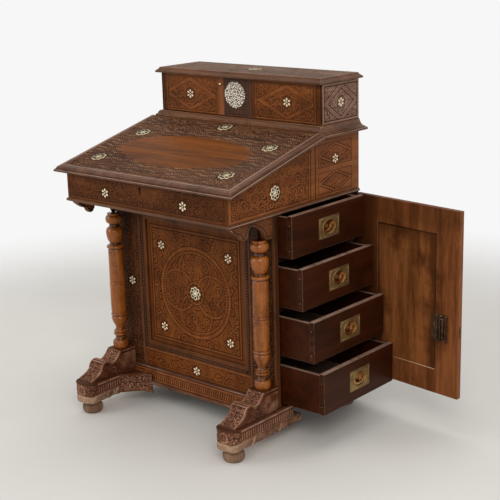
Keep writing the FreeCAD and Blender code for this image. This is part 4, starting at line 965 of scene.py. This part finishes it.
def carveFeet():
    f = footCarving
    padY, padZ, blockTop, r = f["padY"], f["padZ"], f["blockTop"], f["eye"]
    centreY, centreZ = padY - 3.05 * r, blockTop + 1.45 * r
    troughY, troughZ = centreY + 1.2 * r, centreZ + 0.5 * r
    tipY, neckY = f["noseY"] + 0.6 * f["corner"], centreY - 1.08 * r
    crest = [(padY + 1, padZ)]  # side view of the scroll, from its pad to its toe
    for t in (i / 12 for i in range(1, 13)):
        crest.append((padY + (troughY - padY) * t, troughZ + (padZ - troughZ) * (1 - t) ** 1.7))
    for x, y in (polar(r, math.radians(50 + 10 * i)) for i in range(12)):
        crest.append((centreY + x, centreZ + y))
    hollow = crest[:13]
    toe = [(neckY + (tipY - neckY) * t, blockTop + (centreZ - blockTop) * rise) for t, rise in f["toe"]]
    crest += toe
    ridgeLine = np.array(sorted(crest + [(f["padBack"], padZ)]))
    base, tall = f["blockLow"] + 1.0, blockTop - f["blockLow"] - 2.0
    wide = 2 * f["scrollHalf"] - 2
    for label, sign in (("right", 1), ("left", -1)):
        x0, x1 = sign * f["centreX"] - f["half"], sign * f["centreX"] + f["half"]
        y0, q = f["noseY"], f["corner"]
        quarter = np.linspace(0, math.pi / 2, 9)
        plan = [(x0, f["tailY"])] + [(x0 + q - q * math.cos(t), y0 + q - q * math.sin(t)) for t in quarter]
        plan += [(x1 - q + q * math.sin(t), y0 + q - q * math.cos(t)) for t in quarter] + [(x1, f["tailY"])]
        total = 2 * (f["tailY"] - y0 - q) + math.pi * q + (x1 - x0 - 2 * q)

        def bandField(u, v):
            du, dv = u - total / 2, v - 0.42 * tall
            ring = np.hypot(du, dv)
            leaf = np.where(ring < 11.5, ease(np.cos(np.arctan2(dv, du) * 8), -0.5, 0.5), scrolls(du, dv, *f["leaves"]))
            leaf = np.where(np.abs(ring - 14) < 2.2, 0.95, leaf)
            return np.where((np.abs(du) < 58) & (v < 0.92 * tall), leaf, gadroons(u, v, tall, f["gadroon"]))

        carvedSkin("footBand." + label, [(x, y, base) for x, y in plan], (0, 0, 1), tall, bandField, "footCarved", 2.2,
                   1.7)
        left = sign * f["centreX"] - f["scrollHalf"]
        right = left + 2 * f["scrollHalf"]

        def crestField(u, v):
            ribs = ease(np.cos(u * 2 * math.pi / 8.5), -0.4, 0.5)
            relief = np.where((u > 56) & (u < 90), ribs, scrolls(u, v - wide / 2, *f["leaves"]))
            return np.where(np.minimum(v, wide - v) < 4, 0.9, relief)

        carvedSkin("scrollCrest." + label, [(left + 1, y, z) for y, z in crest], (1, 0, 0), wide, crestField,
                   "footCarved", 2.4, 1.6)
        for x, turned in ((left, True), (right, False)):
            start, end = ridgeLine[0, 0] + 1, ridgeLine[-1, 0]
            run = [(x, start, blockTop), (x, end, blockTop)]

            def depthY(s):
                return end - s if turned else start + s

            def crestAbove(s):
                return np.interp(depthY(s), ridgeLine[:, 0], ridgeLine[:, 1]) - blockTop - 0.5

            def cheekField(u, v):
                leaf = 1 - (1 - scrolls(u, v, 26.0, 8.0)) * ease(-depthY(u), 150, 200)
                return stepped(crestAbove(u) - v, leaf, (5.5, 0.95), (8, 0.05))

            side = "inner" if turned == (sign > 0) else "outer"
            carvedSkin("scrollCheek.%s.%s" % (label, side), run[::-1] if turned else run, (0, 0, 1), 0, cheekField,
                       "cheekCarved", 0.9, 2.0, crestAbove)
        edges = ([], [])
        for x in (left - 0.3, right + 0.3):
            coil = [(17.5 - t * 1.12, t + 0.6) for t in np.linspace(0, 4.4 * math.pi, 70)]
            tube(edges, [(x, centreY - p * math.cos(t), centreZ + p * math.sin(t)) for p, t in coil], 1.6)
            tube(edges, [(x, y, z - 4) for y, z in hollow], 1.6)
            tube(edges, [(x, y, z - 3) for y, z in toe[:-1]], 1.4)
        tube(edges, [(x, y, blockTop - 2.4) for x, y in plan], 3.4, 10)
        newPiece("scrollEdges." + label, edges, "foot")


cornerCarving = {"leaves": (21.0, 8.0, 0.0, 1.0), "rim": 5, "upperBead": 4.2, "lowerBead": 3.0}


def carveCorners():
    c = cornerCarving
    low, high = corners("corner_blocks")
    inner, front, back = high[0], low[1] + 2, high[1]
    reach = inner - min(p[:, 0].min() for p in islands("corner_blocks") if p[:, 0].mean() > 0)
    plan = [(inner - 0.5, front), (inner - 0.08 * reach, front - 2), (inner - 0.6 * reach, back - 0.1 * (back - front)),
            (inner - reach + 0.5, back - 3)]
    tall = high[2] - low[2] - 2

    def blockField(u, v):
        return np.where(np.minimum(v, tall - v) < c["rim"], 0.9, scrolls(u, v - tall / 2, *c["leaves"]))

    for label, sign in (("right", 1), ("left", -1)):
        run = [(sign * x, y, low[2] + 1) for x, y in plan][::-sign]
        carvedSkin("cornerCarving." + label, run, (0, 0, 1), tall, blockField, "footCarved", 2.2, 1.7)
        edges = ([], [])
        for z, size in ((high[2] - 2.5, c["upperBead"]), (low[2] + 3, c["lowerBead"])):
            tube(edges, [(x, y, z) for x, y, foot in run], size, 10)
        newPiece("cornerEdges." + label, edges, "foot")


slabCut = {"levels": (0.0, 0.07, 0.24, 0.42, 0.6, 0.78, 0.93, 1.0), "bevel": 2.6, "chip": 6.0, "points": 170,
           "waves": (97, 53, 31, 19, 13, 8.5), "bends": (1, 2, 3, 4, 4, 5)}


def chippedSlabs():
    # the slab under each front foot, rounded at the nose, its edges broken
    low, high = corners("foot_slabs")
    chance = np.random.default_rng(11)
    half = high[0] - footCarving["centreX"]
    q = footCarving["corner"] + 3.0
    count, rows, thick = slabCut["points"], len(slabCut["levels"]), high[2] - low[2]
    verts, faces, marks = [], [], []
    for sign in (-1, 1):
        plan = [(half, high[1]), (half, low[1] + q)]
        plan += [(half - q + q * math.cos(t), low[1] + q - q * math.sin(t)) for t in np.linspace(0.2, math.pi / 2, 8)]
        plan += [(q - half - q * math.sin(t), low[1] + q - q * math.cos(t)) for t in np.linspace(0.0, math.pi / 2, 9)]
        plan = np.array(plan + [(-half, high[1]), (half, high[1])])
        run = np.concatenate([[0.0], np.cumsum(np.linalg.norm(np.diff(plan, axis=0), axis=1))])
        s = np.linspace(0, run[-1], count, endpoint=False)
        edge = np.stack([np.interp(s, run, plan[:, k]) for k in range(2)], 1)
        along = np.roll(edge, -1, 0) - np.roll(edge, 1, 0)
        inward = np.stack([along[:, 1], -along[:, 0]], 1) / np.linalg.norm(along, axis=1)[:, None]
        inward *= np.sign((inward * (plan.mean(0) - edge)).sum(1))[:, None]
        phase = chance.uniform(0, 6.3, 6)
        first = len(verts)
        for level in slabCut["levels"]:
            away = min(level, 1 - level) * thick
            corner = math.exp(-away / 2.0)
            rough = sum(np.sin(2 * math.pi * s / wave + p + level * bend)
                        for wave, p, bend in zip(slabCut["waves"], phase, slabCut["bends"]))
            broken = np.clip(rough - 0.9, 0, 2.5) / 2.5 * (0.35 + 0.65 * math.exp(-away / 5))
            inset = 0.2 + slabCut["bevel"] * corner + slabCut["chip"] * broken
            for (x, y), chip in zip(edge + inward * inset[:, None], broken):
                verts.append(((sign * footCarving["centreX"] + x) / 1000, y / 1000, (low[2] + thick * level) / 1000))
                marks.append(1 - min(1.0, 1.6 * chip + 0.25 * corner + 0.6 * max(0.0, 1 - (y - low[1]) / 150)))
        quads = []
        skinRings(quads, first, count, rows, 0)
        faces += [(a, d, c, b) for a, b, c, d in quads]  # the plan runs the other way round
        faces.append(tuple(first + m for m in range(count)))
        faces.append(tuple(first + (rows - 1) * count + m for m in reversed(range(count))))
    piece = newPiece("chippedSlabs", (verts, faces), "slab")
    mark(piece, "relief", marks)
    piece.data.set_sharp_from_angle(angle=math.radians(40))
    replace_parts(piece, "foot_slabs")


plinthCarving = {"pitch": 8.5, "deep": 22.0, "tall": 52.0, "low": 68.0, "flutedHalf": 165}


def carvePlinth():
    c, front = plinthCarving, corners("plinth")[0][1]
    d, h, z0 = c["deep"], c["tall"], c["low"]
    pedestal = front + d
    inner = footCarving["centreX"] - footCarving["half"] - 1
    bottom, top = (pedestal - 0.78 * d, z0 + 0.24 * h), (pedestal - 0.4 * d, z0 + 0.82 * h)
    rise = np.array((0, top[0] - bottom[0], top[1] - bottom[1]))
    tall = float(np.linalg.norm(rise))
    start = (-inner, bottom[0] - 1.2, bottom[1])

    def field(u, v):
        flutes = ease(np.cos(u * 2 * math.pi / c["pitch"]), -0.6, 0.3) * 0.85
        relief = np.where(np.abs(u - inner) < c["flutedHalf"], flutes, scrolls(u - inner, v - tall / 2, 18.0, 7.5))
        return stepped(np.minimum(v, tall - v), relief, (4, 0.85), (6, 0.05))

    carvedSkin("plinthBand", [start, (inner, start[1], start[2])], rise / tall, tall, field, "sideCarved", 1.6, 1.8)
    mesh = ([], [])
    for y, z, size in ((front + 1.5, z0 + 5.5, 5.6), (pedestal - 0.3 * d, z0 + 0.92 * h, 2.6)):
        tube(mesh, straight((-inner + 1, y, z), (inner - 1, y, z)), size, 14)
    newPiece("plinthBeads", mesh, "moulding")


bracketCarving = {  # shares of the bracket's length and depth, from its front and top
    "thick": 14.0,
    "edge": ((0.02, 0.1), (0.09, 0.28), (0.16, 0.41), (0.24, 0.47), (0.27, 0.63), (0.315, 0.73), (0.37, 0.7),
             (0.41, 0.56), (0.435, 0.28), (0.48, 0.17), (0.54, 0.19), (0.64, 0.31), (0.735, 0.46), (0.79, 0.62),
             (0.825, 0.86), (0.86, 0.96), (0.98, 0.96)),
    "leaves": ((0.06, 0.33, 0.5), (0.12, 0.36, 0.36), (0.2, 0.34, 0.25), (0.6, 0.93, 0.7), (0.7, 0.95, 0.5),
               (0.8, 0.97, 0.34)),
}


def carveBrackets():
    # a raised rim along the shaped edge and leaf lines inside it, on both faces
    low, high = corners("brackets")
    deep, reach = high[2] - low[2], high[1] - low[1]
    edges, cuts = ([], []), ([], [])
    for sign in (-1, 1):
        for x in (high[0] + 0.2, high[0] - bracketCarving["thick"] - 0.2):
            flat = np.array([(sign * x, low[1] + reach * f, high[2] - deep * g) for f, g in bracketCarving["edge"]])
            tangent = np.gradient(flat, axis=0)
            inward = np.stack([np.zeros(len(flat)), -tangent[:, 2], tangent[:, 1]], 1)
            inward /= np.linalg.norm(inward, axis=1)[:, None]
            for inset, size, mesh in ((1.7, 1.5, edges), (5.0, 1.0, cuts)):
                rim = flat + inward * inset
                rim[:, 2] = np.minimum(rim[:, 2], high[2] - 1.5)
                tube(mesh, rim, size)
            for f0, f1, bend in bracketCarving["leaves"]:
                tube(edges, [(sign * x, low[1] + reach * (f0 + (f1 - f0) * t), high[2] - 5 - deep * bend * t ** 1.5)
                             for t in np.linspace(0, 1, 9)], 0.9, 6)
    newPiece("bracketEdges", edges, "mouldingSide")
    newPiece("bracketCuts", cuts, "inside")


beadStrips()
roundPlaque()
keyhole()
turnedColumns()
bunFeet()
carveFeet()
carveCorners()
chippedSlabs()
carvePlinth()
carveBrackets()
print("turned and small carved pieces made")


# the lid's edge, in from its rim and up from its underside: fillet, groove, fat round, groove, narrow top
lidEdge = {"halfWidth": 345.5, "seatZ": 748.8, "rearY": 86.5,
           "outline": [(1.0, 0.0), (0.0, 1.0), (0.0, 5.6), (0.7, 6.6), (3.6, 7.0), (4.4, 6.2), (5.6, 6.2), (6.4, 7.4)]
           + curve((6.4, 7.4), (6.4, 14.2), (14.0, 15.0)) + curve((14.0, 15.0), (20.5, 15.8), (22.0, 13.6), 5)
           + [(23.2, 13.4), (24.2, 14.9), (26.5, 15.3), (30.0, 15.2), (30.0, 0.0)],
           "highlightLines": ((21.4, 15.3, 1.3), (1.0, 5.9, 1.0)), "shadeLines": ((5.0, 6.6, 1.0), (23.2, 14.2, 1.0))}


def lidMouldings():
    half, frontY = lidEdge["halfWidth"], slant["frontY"]
    sine, cosine = math.sin(slant["angle"]), math.cos(slant["angle"])

    def at(u, v, w):
        return (u, frontY + v * cosine - w * sine, lidEdge["seatZ"] + v * sine + w * cosine)

    def tail(w):
        return (lidEdge["rearY"] - frontY + w * sine) / cosine

    left = [[(-half + d, tail(w), w) for d, w in lidEdge["outline"]]]  # from the rear round the front corner
    for along, back in ((0, 2), (0, 0), (2, 0)):
        left.append([(-half + d + along, d + back, w) for d, w in lidEdge["outline"]])
    right = [[(-u, v, w) for u, v, w in station] for station in reversed(left)]
    stations = [[at(*p) for p in station] for station in left + right]
    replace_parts(loft("lidEdgeMoulding", [stations], "mouldingSide", "lid"), "lid_mouldings")
    # pale lines are painted highlights along the round and the fillet, dark ones painted shade in the grooves
    for name, finish, lines in (("lidEdgeHighlight", "edgeHighlight", "highlightLines"), ("lidEdgeShade", "inside", "shadeLines")):
        mesh = ([], [])
        for d, w, size in lidEdge[lines]:
            stops = [(-half + d, tail(w)), (-half + d, d), (half - d, d), (half - d, tail(w))]
            for ends in zip(stops, stops[1:]):
                tube(mesh, [at(u, v, w) for u, v in ends], size)
        newPiece(name, mesh, finish, "lid")


galleryBase = {"front": 90.0, "doors": 116.0, "sillBack": 129.6, "back": 291.0, "half": 312.5, "sillHeight": 12.5}


def galleryMouldings():
    front, back, half = galleryBase["front"], galleryBase["back"], galleryBase["half"]
    low, high = corners("gallery_base_moulding")
    top, seat, bottom = high[2], high[2] - galleryBase["sillHeight"], low[2]
    nose = [(front, seat), (front, seat + 1.0), (front + 1.2, seat + 1.6), (97.0, seat + 1.9), (98.0, seat + 2.8)]
    nose += curve((98.0, seat + 2.8), (98.2, top - 0.4), (108.0, top - 0.1), 8) + [(galleryBase["doors"], top)]
    sill = nose + [(galleryBase["sillBack"], top), (galleryBase["sillBack"], seat)]
    runs = [[[(x, y, z) for y, z in sill] for x in (-half, half)]]
    side = [(0.0, 0.0), (32.0, 0.0), (33.0, 1.0), (33.0, 5.6), (31.8, 6.8), (26.0, 7.4), (23.6, 7.6)]
    side += curve((23.2, 9.2), (8.5, 11.5), (6.4, 20.8), 8) + [(5.2, 21.6), (5.0, 24.4), (3.6, 25.4), (3.4, 28.6)]
    side = [(out, bottom + up) for out, up in side] + [(2.4, top), (0.0, top)]
    noseY, noseZ = zip(*nose)
    for sign in (-1, 1):
        runs.append([[(sign * (half + out), min(float(np.interp(z, noseZ, noseY)) + more, back), z) for out, z in side]
                     for more in (0.0, 2.0)] + [[(sign * (half + out), back, z) for out, z in side]])
    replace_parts(loft("galleryBaseRun", runs, "moulding"), "gallery_base_moulding")
    # pale lines are painted highlights on the sill, the side moulding and the case bead; the dark lines are painted
    # shade in a groove of the side moulding
    light, dark = ([], []), ([], [])
    tube(light, [(-half, 107.0, top - 1.0), (half, 107.0, top - 1.0)], 1.5)
    beadLow, beadHigh = corners("case_bead")
    for sign in (-1, 1):
        tube(light, [(sign * (half + 32.4), y, bottom + 6.0) for y in (92.0, back - 1)], 1.0)
        tube(dark, [(sign * (half + 24.6), y, bottom + 7.9) for y in (96.0, back - 1)], 0.9)
        tube(light, [(sign * (beadHigh[0] - 1.2), y, beadLow[2] + 3.8) for y in (beadLow[1] + 2, beadHigh[1] - 1)], 1.7)
    newPiece("mouldingHighlightLines", light, "mouldingUp")
    newPiece("mouldingShadeLines", dark, "inside")


coverPlan = [(288.0, 291.0), (310.5, 291.0), (311.0, 291.6), (310.5, 292.6), (288.0, 292.6)]


def hingeCover():
    # a thin strip behind the side door's hinge edge, cut where the hinges are
    leaves = [p for p in islands("hinge_leaves_fixed") if p[:, 1].min() > 280]
    low, high = corners("pedestal_back")
    z, runs = low[2] + 9.5, []
    for start, end in sorted((p[:, 2].min() - 1.0, p[:, 2].max() + 1.0) for p in leaves) + [(high[2] - 1, high[2])]:
        if start - z > 2:
            runs.append(raised(coverPlan, z, start))
        z = end
    loft("hingeCover", runs, "plain")


lidMouldings()
galleryMouldings()
hingeCover()
print("mouldings run")


pullDetail = {"halfWide": 47, "halfTall": 30, "lines": (3.0, 5.2), "screwRadius": 2.3, "screwInset": (9.0, 8.0),
              "cup": (28.8, 21.2), "rim": 1.3, "dish": (28.9, 21.3), "dishDepth": 9.8, "dishRings": 7, "dishSides": 40}


def pullTrims():
    # a copper-coloured dish in each cup, a raised rim round it, lines round the plate and four screws
    d = pullDetail
    around = ((-1, -1), (1, -1), (1, 1), (-1, 1))
    for n in range(1, 5):
        low, high = corners("pull_%d_plate" % n)
        x, y, z = high[0], (low[1] + high[1]) / 2, (low[2] + high[2]) / 2
        trim = ([], [])
        tube(trim, [(x + 0.1, a, b) for a, b in oval(*d["cup"], (y, z), count=48)], d["rim"], 8, True)
        for edge in d["lines"]:
            line = [(x + 0.05, y + a * (d["halfWide"] - edge), z + b * (d["halfTall"] - edge)) for a, b in around]
            for a, b in zip(line, line[1:] + line[:1]):
                tube(trim, straight(a, b), 0.45, 6)
        screw = (d["halfWide"] - d["screwInset"][0], d["halfTall"] - d["screwInset"][1])
        for a, b in ((-1, -1), (-1, 1), (1, -1), (1, 1)):
            dome(trim, (x, y + a * screw[0], z + b * screw[1]), (1, 0, 0), (0, 1, 0),
                 oval(d["screwRadius"], d["screwRadius"]), 0.8)
        newPiece("pullTrim.%d" % n, trim, "brass", "drawer_%d" % n)
        rings, sides = d["dishRings"], d["dishSides"]
        verts, faces = [], []
        for f in (1 - k / rings for k in range(rings + 1)):
            deep = x - 0.4 - d["dishDepth"] * (1 - f ** 2.2)
            ring = oval(d["dish"][0] * f, d["dish"][1] * f, (y, z), count=sides)
            verts += [(deep / 1000, a / 1000, b / 1000) for a, b in ring]
        skinRings(faces, 0, sides, rings + 1, 0)
        newPiece("pullDish.%d" % n, (verts, faces), "copper", "drawer_%d" % n)


dovetail = {"count": 4, "height": 115, "frontThick": 16.0, "length": 13.0, "wide": 18.0, "narrow": 11.0,
            "nails": (22, 92)}


def drawerJoints():
    # the side's tails show as paler end grain on each drawer's corner, with two nails
    d = dovetail
    for n in range(1, 5):
        low, high = corners("drawer_%d" % n)
        x0 = high[0] - d["frontThick"]
        x1 = x0 + d["length"]
        verts, faces, nails = [], [], ([], [])
        for y, out in ((low[1], -1), (high[1], 1)):
            for k in range(d["count"]):
                z = low[2] + d["height"] * (k + 0.5) / d["count"]
                tail = [(x0, z - d["narrow"] / 2), (x0, z + d["narrow"] / 2), (x1, z + d["wide"] / 2),
                        (x1, z - d["wide"] / 2)]
                first = len(verts)
                for lift in (0.12, -0.3):
                    verts += [(x / 1000, (y + out * lift) / 1000, up / 1000) for x, up in tail]
                faces.append(tuple(first + i for i in range(4))[::out])
                for i in range(4):
                    faces.append((first + i, first + (i + 1) % 4, first + 4 + (i + 1) % 4, first + 4 + i))
            for z in d["nails"]:
                dome(nails, (x0 + 6.5, y, low[2] + z), (0, out, 0), (1, 0, 0), oval(1.7, 1.7, count=8), 0.5, 2)
        newPiece("dovetails.%d" % n, (verts, faces), "drawerEnd", "drawer_%d" % n, False)
        newPiece("drawerNails.%d" % n, nails, "brass", "drawer_%d" % n)


# places on the side door are those of the shut door, and onDoor carries them to where the open one is
doorTrim = {"angle": math.radians(83.5), "pin": (315.5, 294.0), "inner": 296.5, "outer": 312.5, "bead": 1.3,
            "line": 1.2,
            "panelY": (-9.0, 208.0), "panelInset": (69.0, 74.0), "freeEdge": (-88.6, -89.3), "boltGap": (295.0, 329.0)}
doorLock = {"y": (-52.0, -5.0), "z": (278.5, 345.5), "thick": 12.0, "ribs": 4, "ribPitch": 9.5,
            "lines": (-48.6, -37.7, -28.2), "flange": 9.0, "flangeEnd": -9.4, "flangeFace": 294.0}


def onDoor(x, y, z):
    (pinX, pinY), angle = doorTrim["pin"], doorTrim["angle"]
    dx, dy = x - pinX, y - pinY
    return (pinX + dx * math.cos(angle) - dy * math.sin(angle), pinY + dx * math.sin(angle) + dy * math.cos(angle), z)


def doorTube(mesh, a, b, size):
    tube(mesh, [onDoor(*p) for p in straight(a, b)], size)


def doorDetails():
    # a pale bead along the panel's foot as painted highlight and dark lines up its other three sides as painted shade,
    # on both faces, and a facing on the free edge that leaves the bolt clear
    d = doorTrim
    low, high = corners("door_frame")
    (y0, y1), (lowInset, highInset) = d["panelY"], d["panelInset"]
    z0, z1 = low[2] + lowInset + 2, high[2] - highInset - 2
    bead, lines = ([], []), ([], [])
    for x in (d["inner"] + 2.2, d["outer"] - 2.2):
        loop = [(x, y0 + 2, z0), (x, y1 - 2, z0), (x, y1 - 2, z1), (x, y0 + 2, z1)]
        for k, (a, b) in enumerate(zip(loop, loop[1:] + loop[:1])):
            doorTube(lines if k else bead, a, b, d["bead"] if k in (0, 3) else d["line"])
    newPiece("doorPanelLitBead", bead, "doorEdge", "side_door")
    newPiece("doorPanelShadeLines", lines, "inside", "side_door")
    # the free edge's lighter facing is partly wear and partly painted light
    x0, x1, (inside, outside) = d["inner"] + 0.7, d["outer"] - 0.7, d["freeEdge"]
    free = [onDoor(x, y, 0)[:2] for x, y in ((x0, inside), (x0, outside), (x1, outside), (x1, inside))]
    runs = [raised(free, low[2] + 0.6, d["boltGap"][0]), raised(free, d["boltGap"][1], high[2] - 0.6)]
    loft("doorEdgeFacing", runs, "doorStile", "side_door")


def lockDetails():
    # ribs, rivets and a rim on the lock's case, dark lines of painted shade between the ribs, and its flanges with
    # their screws
    d = doorLock
    (y0, y1), (z0, z1) = d["y"], d["z"]
    face = doorTrim["inner"] - d["thick"]
    here = np.array(onDoor(0, 0, 0))
    lie = (np.array(onDoor(-1, 0, 0)) - here, np.array(onDoor(0, 1, 0)) - here)
    detail, lines, screws = ([], []), ([], []), ([], [])
    for y in (y0 + 9 + k * d["ribPitch"] for k in range(d["ribs"])):
        doorTube(detail, (face, y, z0 + 4), (face, y, z1 - 4), 2.0)
    for z in (z0 + 1.5, z1 - 1.5):
        doorTube(detail, (face + 0.6, y0 + 2, z), (face + 0.6, y1 - 2, z), 1.8)
    for y in (y0 + 5, y1 - 6):
        for z in (z0 + 6, z1 - 6):
            dome(detail, onDoor(face, y, z), *lie, oval(2.6, 2.6), 1.5)
    newPiece("doorLockDetail", detail, "iron", "side_door")
    for y in d["lines"]:
        doorTube(lines, (face - 0.4, y, z0 + 3), (face - 0.4, y, z1 - 3), 1.3)
    newPiece("doorLockShadeLines", lines, "shade", "side_door")
    x0, x1, end = doorTrim["inner"] + 0.3, d["flangeFace"], d["flangeEnd"]
    plate = [onDoor(x, y, 0)[:2] for x, y in ((x0, y0), (x1, y0), (x1, end), (x0, end))]
    runs = [raised(plate, z1 - 0.5, z1 + d["flange"]), raised(plate, z0 - d["flange"] * 0.5, z0 + 0.5)]
    loft("doorLockFlanges", runs, "iron", "side_door")
    for y in (y0 + 5, y0 + 22, y0 + 38):
        dome(screws, onDoor(x1, y, z1 + 4.5), *lie, oval(3.0, 2.2), 1.3)
    newPiece("doorLockScrews", screws, "brass", "side_door")


pullTrims()
drawerJoints()
doorDetails()
lockDetails()
print("drawer and door details made")


paint = {
    "case": ["case_front", "gallery_door_left", "gallery_door_right", "gallery_walls", "gallery_deck"],
    "caseSide": ["case_sides", "brackets"],
    "moulding": ["case_bead", "gallery_top", "gallery_base_moulding"], "mouldingSide": ["lid_mouldings"],
    "lidField": ["lid_board"], "upright": ["front_frame"], "strip": ["front_panel_strips"],
    "bay": ["gallery_centre_panel"], "panel": ["front_panel"],
    "foot": ["scroll_feet", "corner_blocks", "plinth", "rear_feet"], "slab": ["foot_slabs"],
    "drawer": ["drawer_%d" % n for n in range(1, 5)], "door": ["door_panel"], "doorFrame": ["door_frame"],
    "plain": ["case_back", "pedestal_back", "end_frame", "end_panel"],
    "inside": ["case_floor", "pedestal_floor", "dust_boards", "drawer_guides", "gallery_partitions"],
    "darkBrass": ["hinge_leaves_fixed", "hinge_pins", "lid_hinge_leaves", "door_hinge_leaves"],
    "brass": ["pull_%d_plate" % n for n in range(1, 5)],
    "brassBail": ["pull_%d_bail" % n for n in range(1, 5)], "knobBrass": ["gallery_knob"],
    "iron": ["lid_lock_case", "lid_lock_bolt", "door_lock_case", "door_lock_bolt"],
    "bone": ["inlays_carcase", "inlays_lid", "inlay_gallery_left", "inlay_gallery_right"],
    "whiteBone": ["centre_plaque"], "column": ["columns"], "bun": ["bun_feet"],
}
for finishName, members in paint.items():
    for member in members:
        slots = nodes[member].data.materials
        slots.clear()
        slots.append(finishes[finishName])
unpainted = sorted(set(nodes) - set(n for members in paint.values() for n in members))
print("CAD nodes painted, left over:", unpainted)


stage = {"floor": (224, 221, 215), "wide": 3.0, "fade": (1.3, 2.5)}


def studio():
    # a pale floor that fades into white all round the desk
    finish, shader, place = newFinish("paleFloor")
    cloud = place.noise(1.6, 5.0, 0.6).between(0.3, 0.75)
    feed(cloud.blend(tone(*stage["floor"], 0.95), tone(*stage["floor"])), shader, "Base Color")
    shader.inputs["Roughness"].default_value = 0.8
    shader.inputs["Specular IOR Level"].default_value = 0.15
    away = place.node("ShaderNodeVectorMath", {"operation": "LENGTH"}, {0: place}, "Value")
    clear = place.node("ShaderNodeBsdfTransparent")
    own = Wire(place.tree, shader.outputs[0])
    mixed = place.node("ShaderNodeMixShader", None, {0: away.between(*stage["fade"]), 1: own, 2: clear})
    feed(mixed, place.tree.nodes["Material Output"], "Surface")
    reach = stage["wide"]
    verts = [(-reach, -reach, 0), (reach, -reach, 0), (reach, reach, 0), (-reach, reach, 0)]
    mesh = bpy.data.meshes.new("studioFloor")
    mesh.from_pydata(verts, [], [(0, 1, 2, 3)])
    mesh.materials.append(finish)
    floor = bpy.data.objects.new("studioFloor", mesh)
    bpy.context.scene.collection.objects.link(floor)


def areaLamp(name, place, aim, size, power, colour=(1.0, 1.0, 1.0)):
    lamp = bpy.data.lights.new(name, "AREA")
    lamp.shape = "SQUARE"
    lamp.size = size
    lamp.energy = power
    lamp.color = colour
    made = bpy.data.objects.new(name, lamp)
    bpy.context.scene.collection.objects.link(made)
    made.location = place
    made.rotation_euler = (Vector(aim) - Vector(place)).to_track_quat("-Z", "Y").to_euler()


lighting = {"world": 0.55, "backdrop": 0.93, "key": 70.0, "fill": 34.0, "top": 30.0}


def lights():
    world = bpy.data.worlds.new("studioWorld")
    world.use_nodes = True
    bpy.context.scene.world = world
    backdrop = world.node_tree.nodes["Background"]
    start = Wire(world.node_tree)
    seen = start.node("ShaderNodeLightPath", out="Is Camera Ray")
    for kind in ("Is Glossy Ray", "Is Transmission Ray"):
        seen = seen + start.node("ShaderNodeLightPath", out=kind)
    level = seen.held() * (lighting["backdrop"] - lighting["world"]) + lighting["world"]
    backdrop.inputs["Color"].default_value = (1.0, 1.0, 1.0, 1.0)
    feed(level, backdrop, "Strength")
    areaLamp("keyLamp", (2.9, -2.7, 2.9), (0.1, 0, 0.55), 2.0, lighting["key"], (1.0, 0.985, 0.96))
    areaLamp("fillLamp", (-2.2, -3.0, 1.9), (0, 0, 0.5), 2.0, lighting["fill"])
    areaLamp("topLamp", (0.0, 0.3, 3.2), (0.0, 0, 0.6), 2.4, lighting["top"])


view = {"place": (2.2957, -2.4914, 1.4032), "yaw": 0.7092, "pitch": 0.266, "roll": -0.0247, "lens": 84.63,
        "shift": (-0.013, 0.0082)}


def camera():
    yaw, pitch, roll = view["yaw"], view["pitch"], view["roll"]
    ahead = Vector((-math.sin(yaw) * math.cos(pitch), math.cos(yaw) * math.cos(pitch), -math.sin(pitch)))
    right = Vector((math.cos(yaw), math.sin(yaw), 0))
    up = right.cross(ahead)
    right, up = right * math.cos(roll) + up * math.sin(roll), up * math.cos(roll) - right * math.sin(roll)
    turn = Matrix((right, up, -ahead)).transposed().to_4x4()
    lensData = bpy.data.cameras.new("photoCamera")
    lensData.sensor_width = 36.0
    lensData.lens = view["lens"]
    lensData.shift_x, lensData.shift_y = view["shift"]
    lensData.clip_end = 50.0
    made = bpy.data.objects.new("photoCamera", lensData)
    bpy.context.scene.collection.objects.link(made)
    made.matrix_world = Matrix.Translation(view["place"]) @ turn
    bpy.context.scene.camera = made


studio()
lights()
camera()
bpy.context.scene.view_settings.view_transform = "Standard"
print("studio, lamps and camera set")
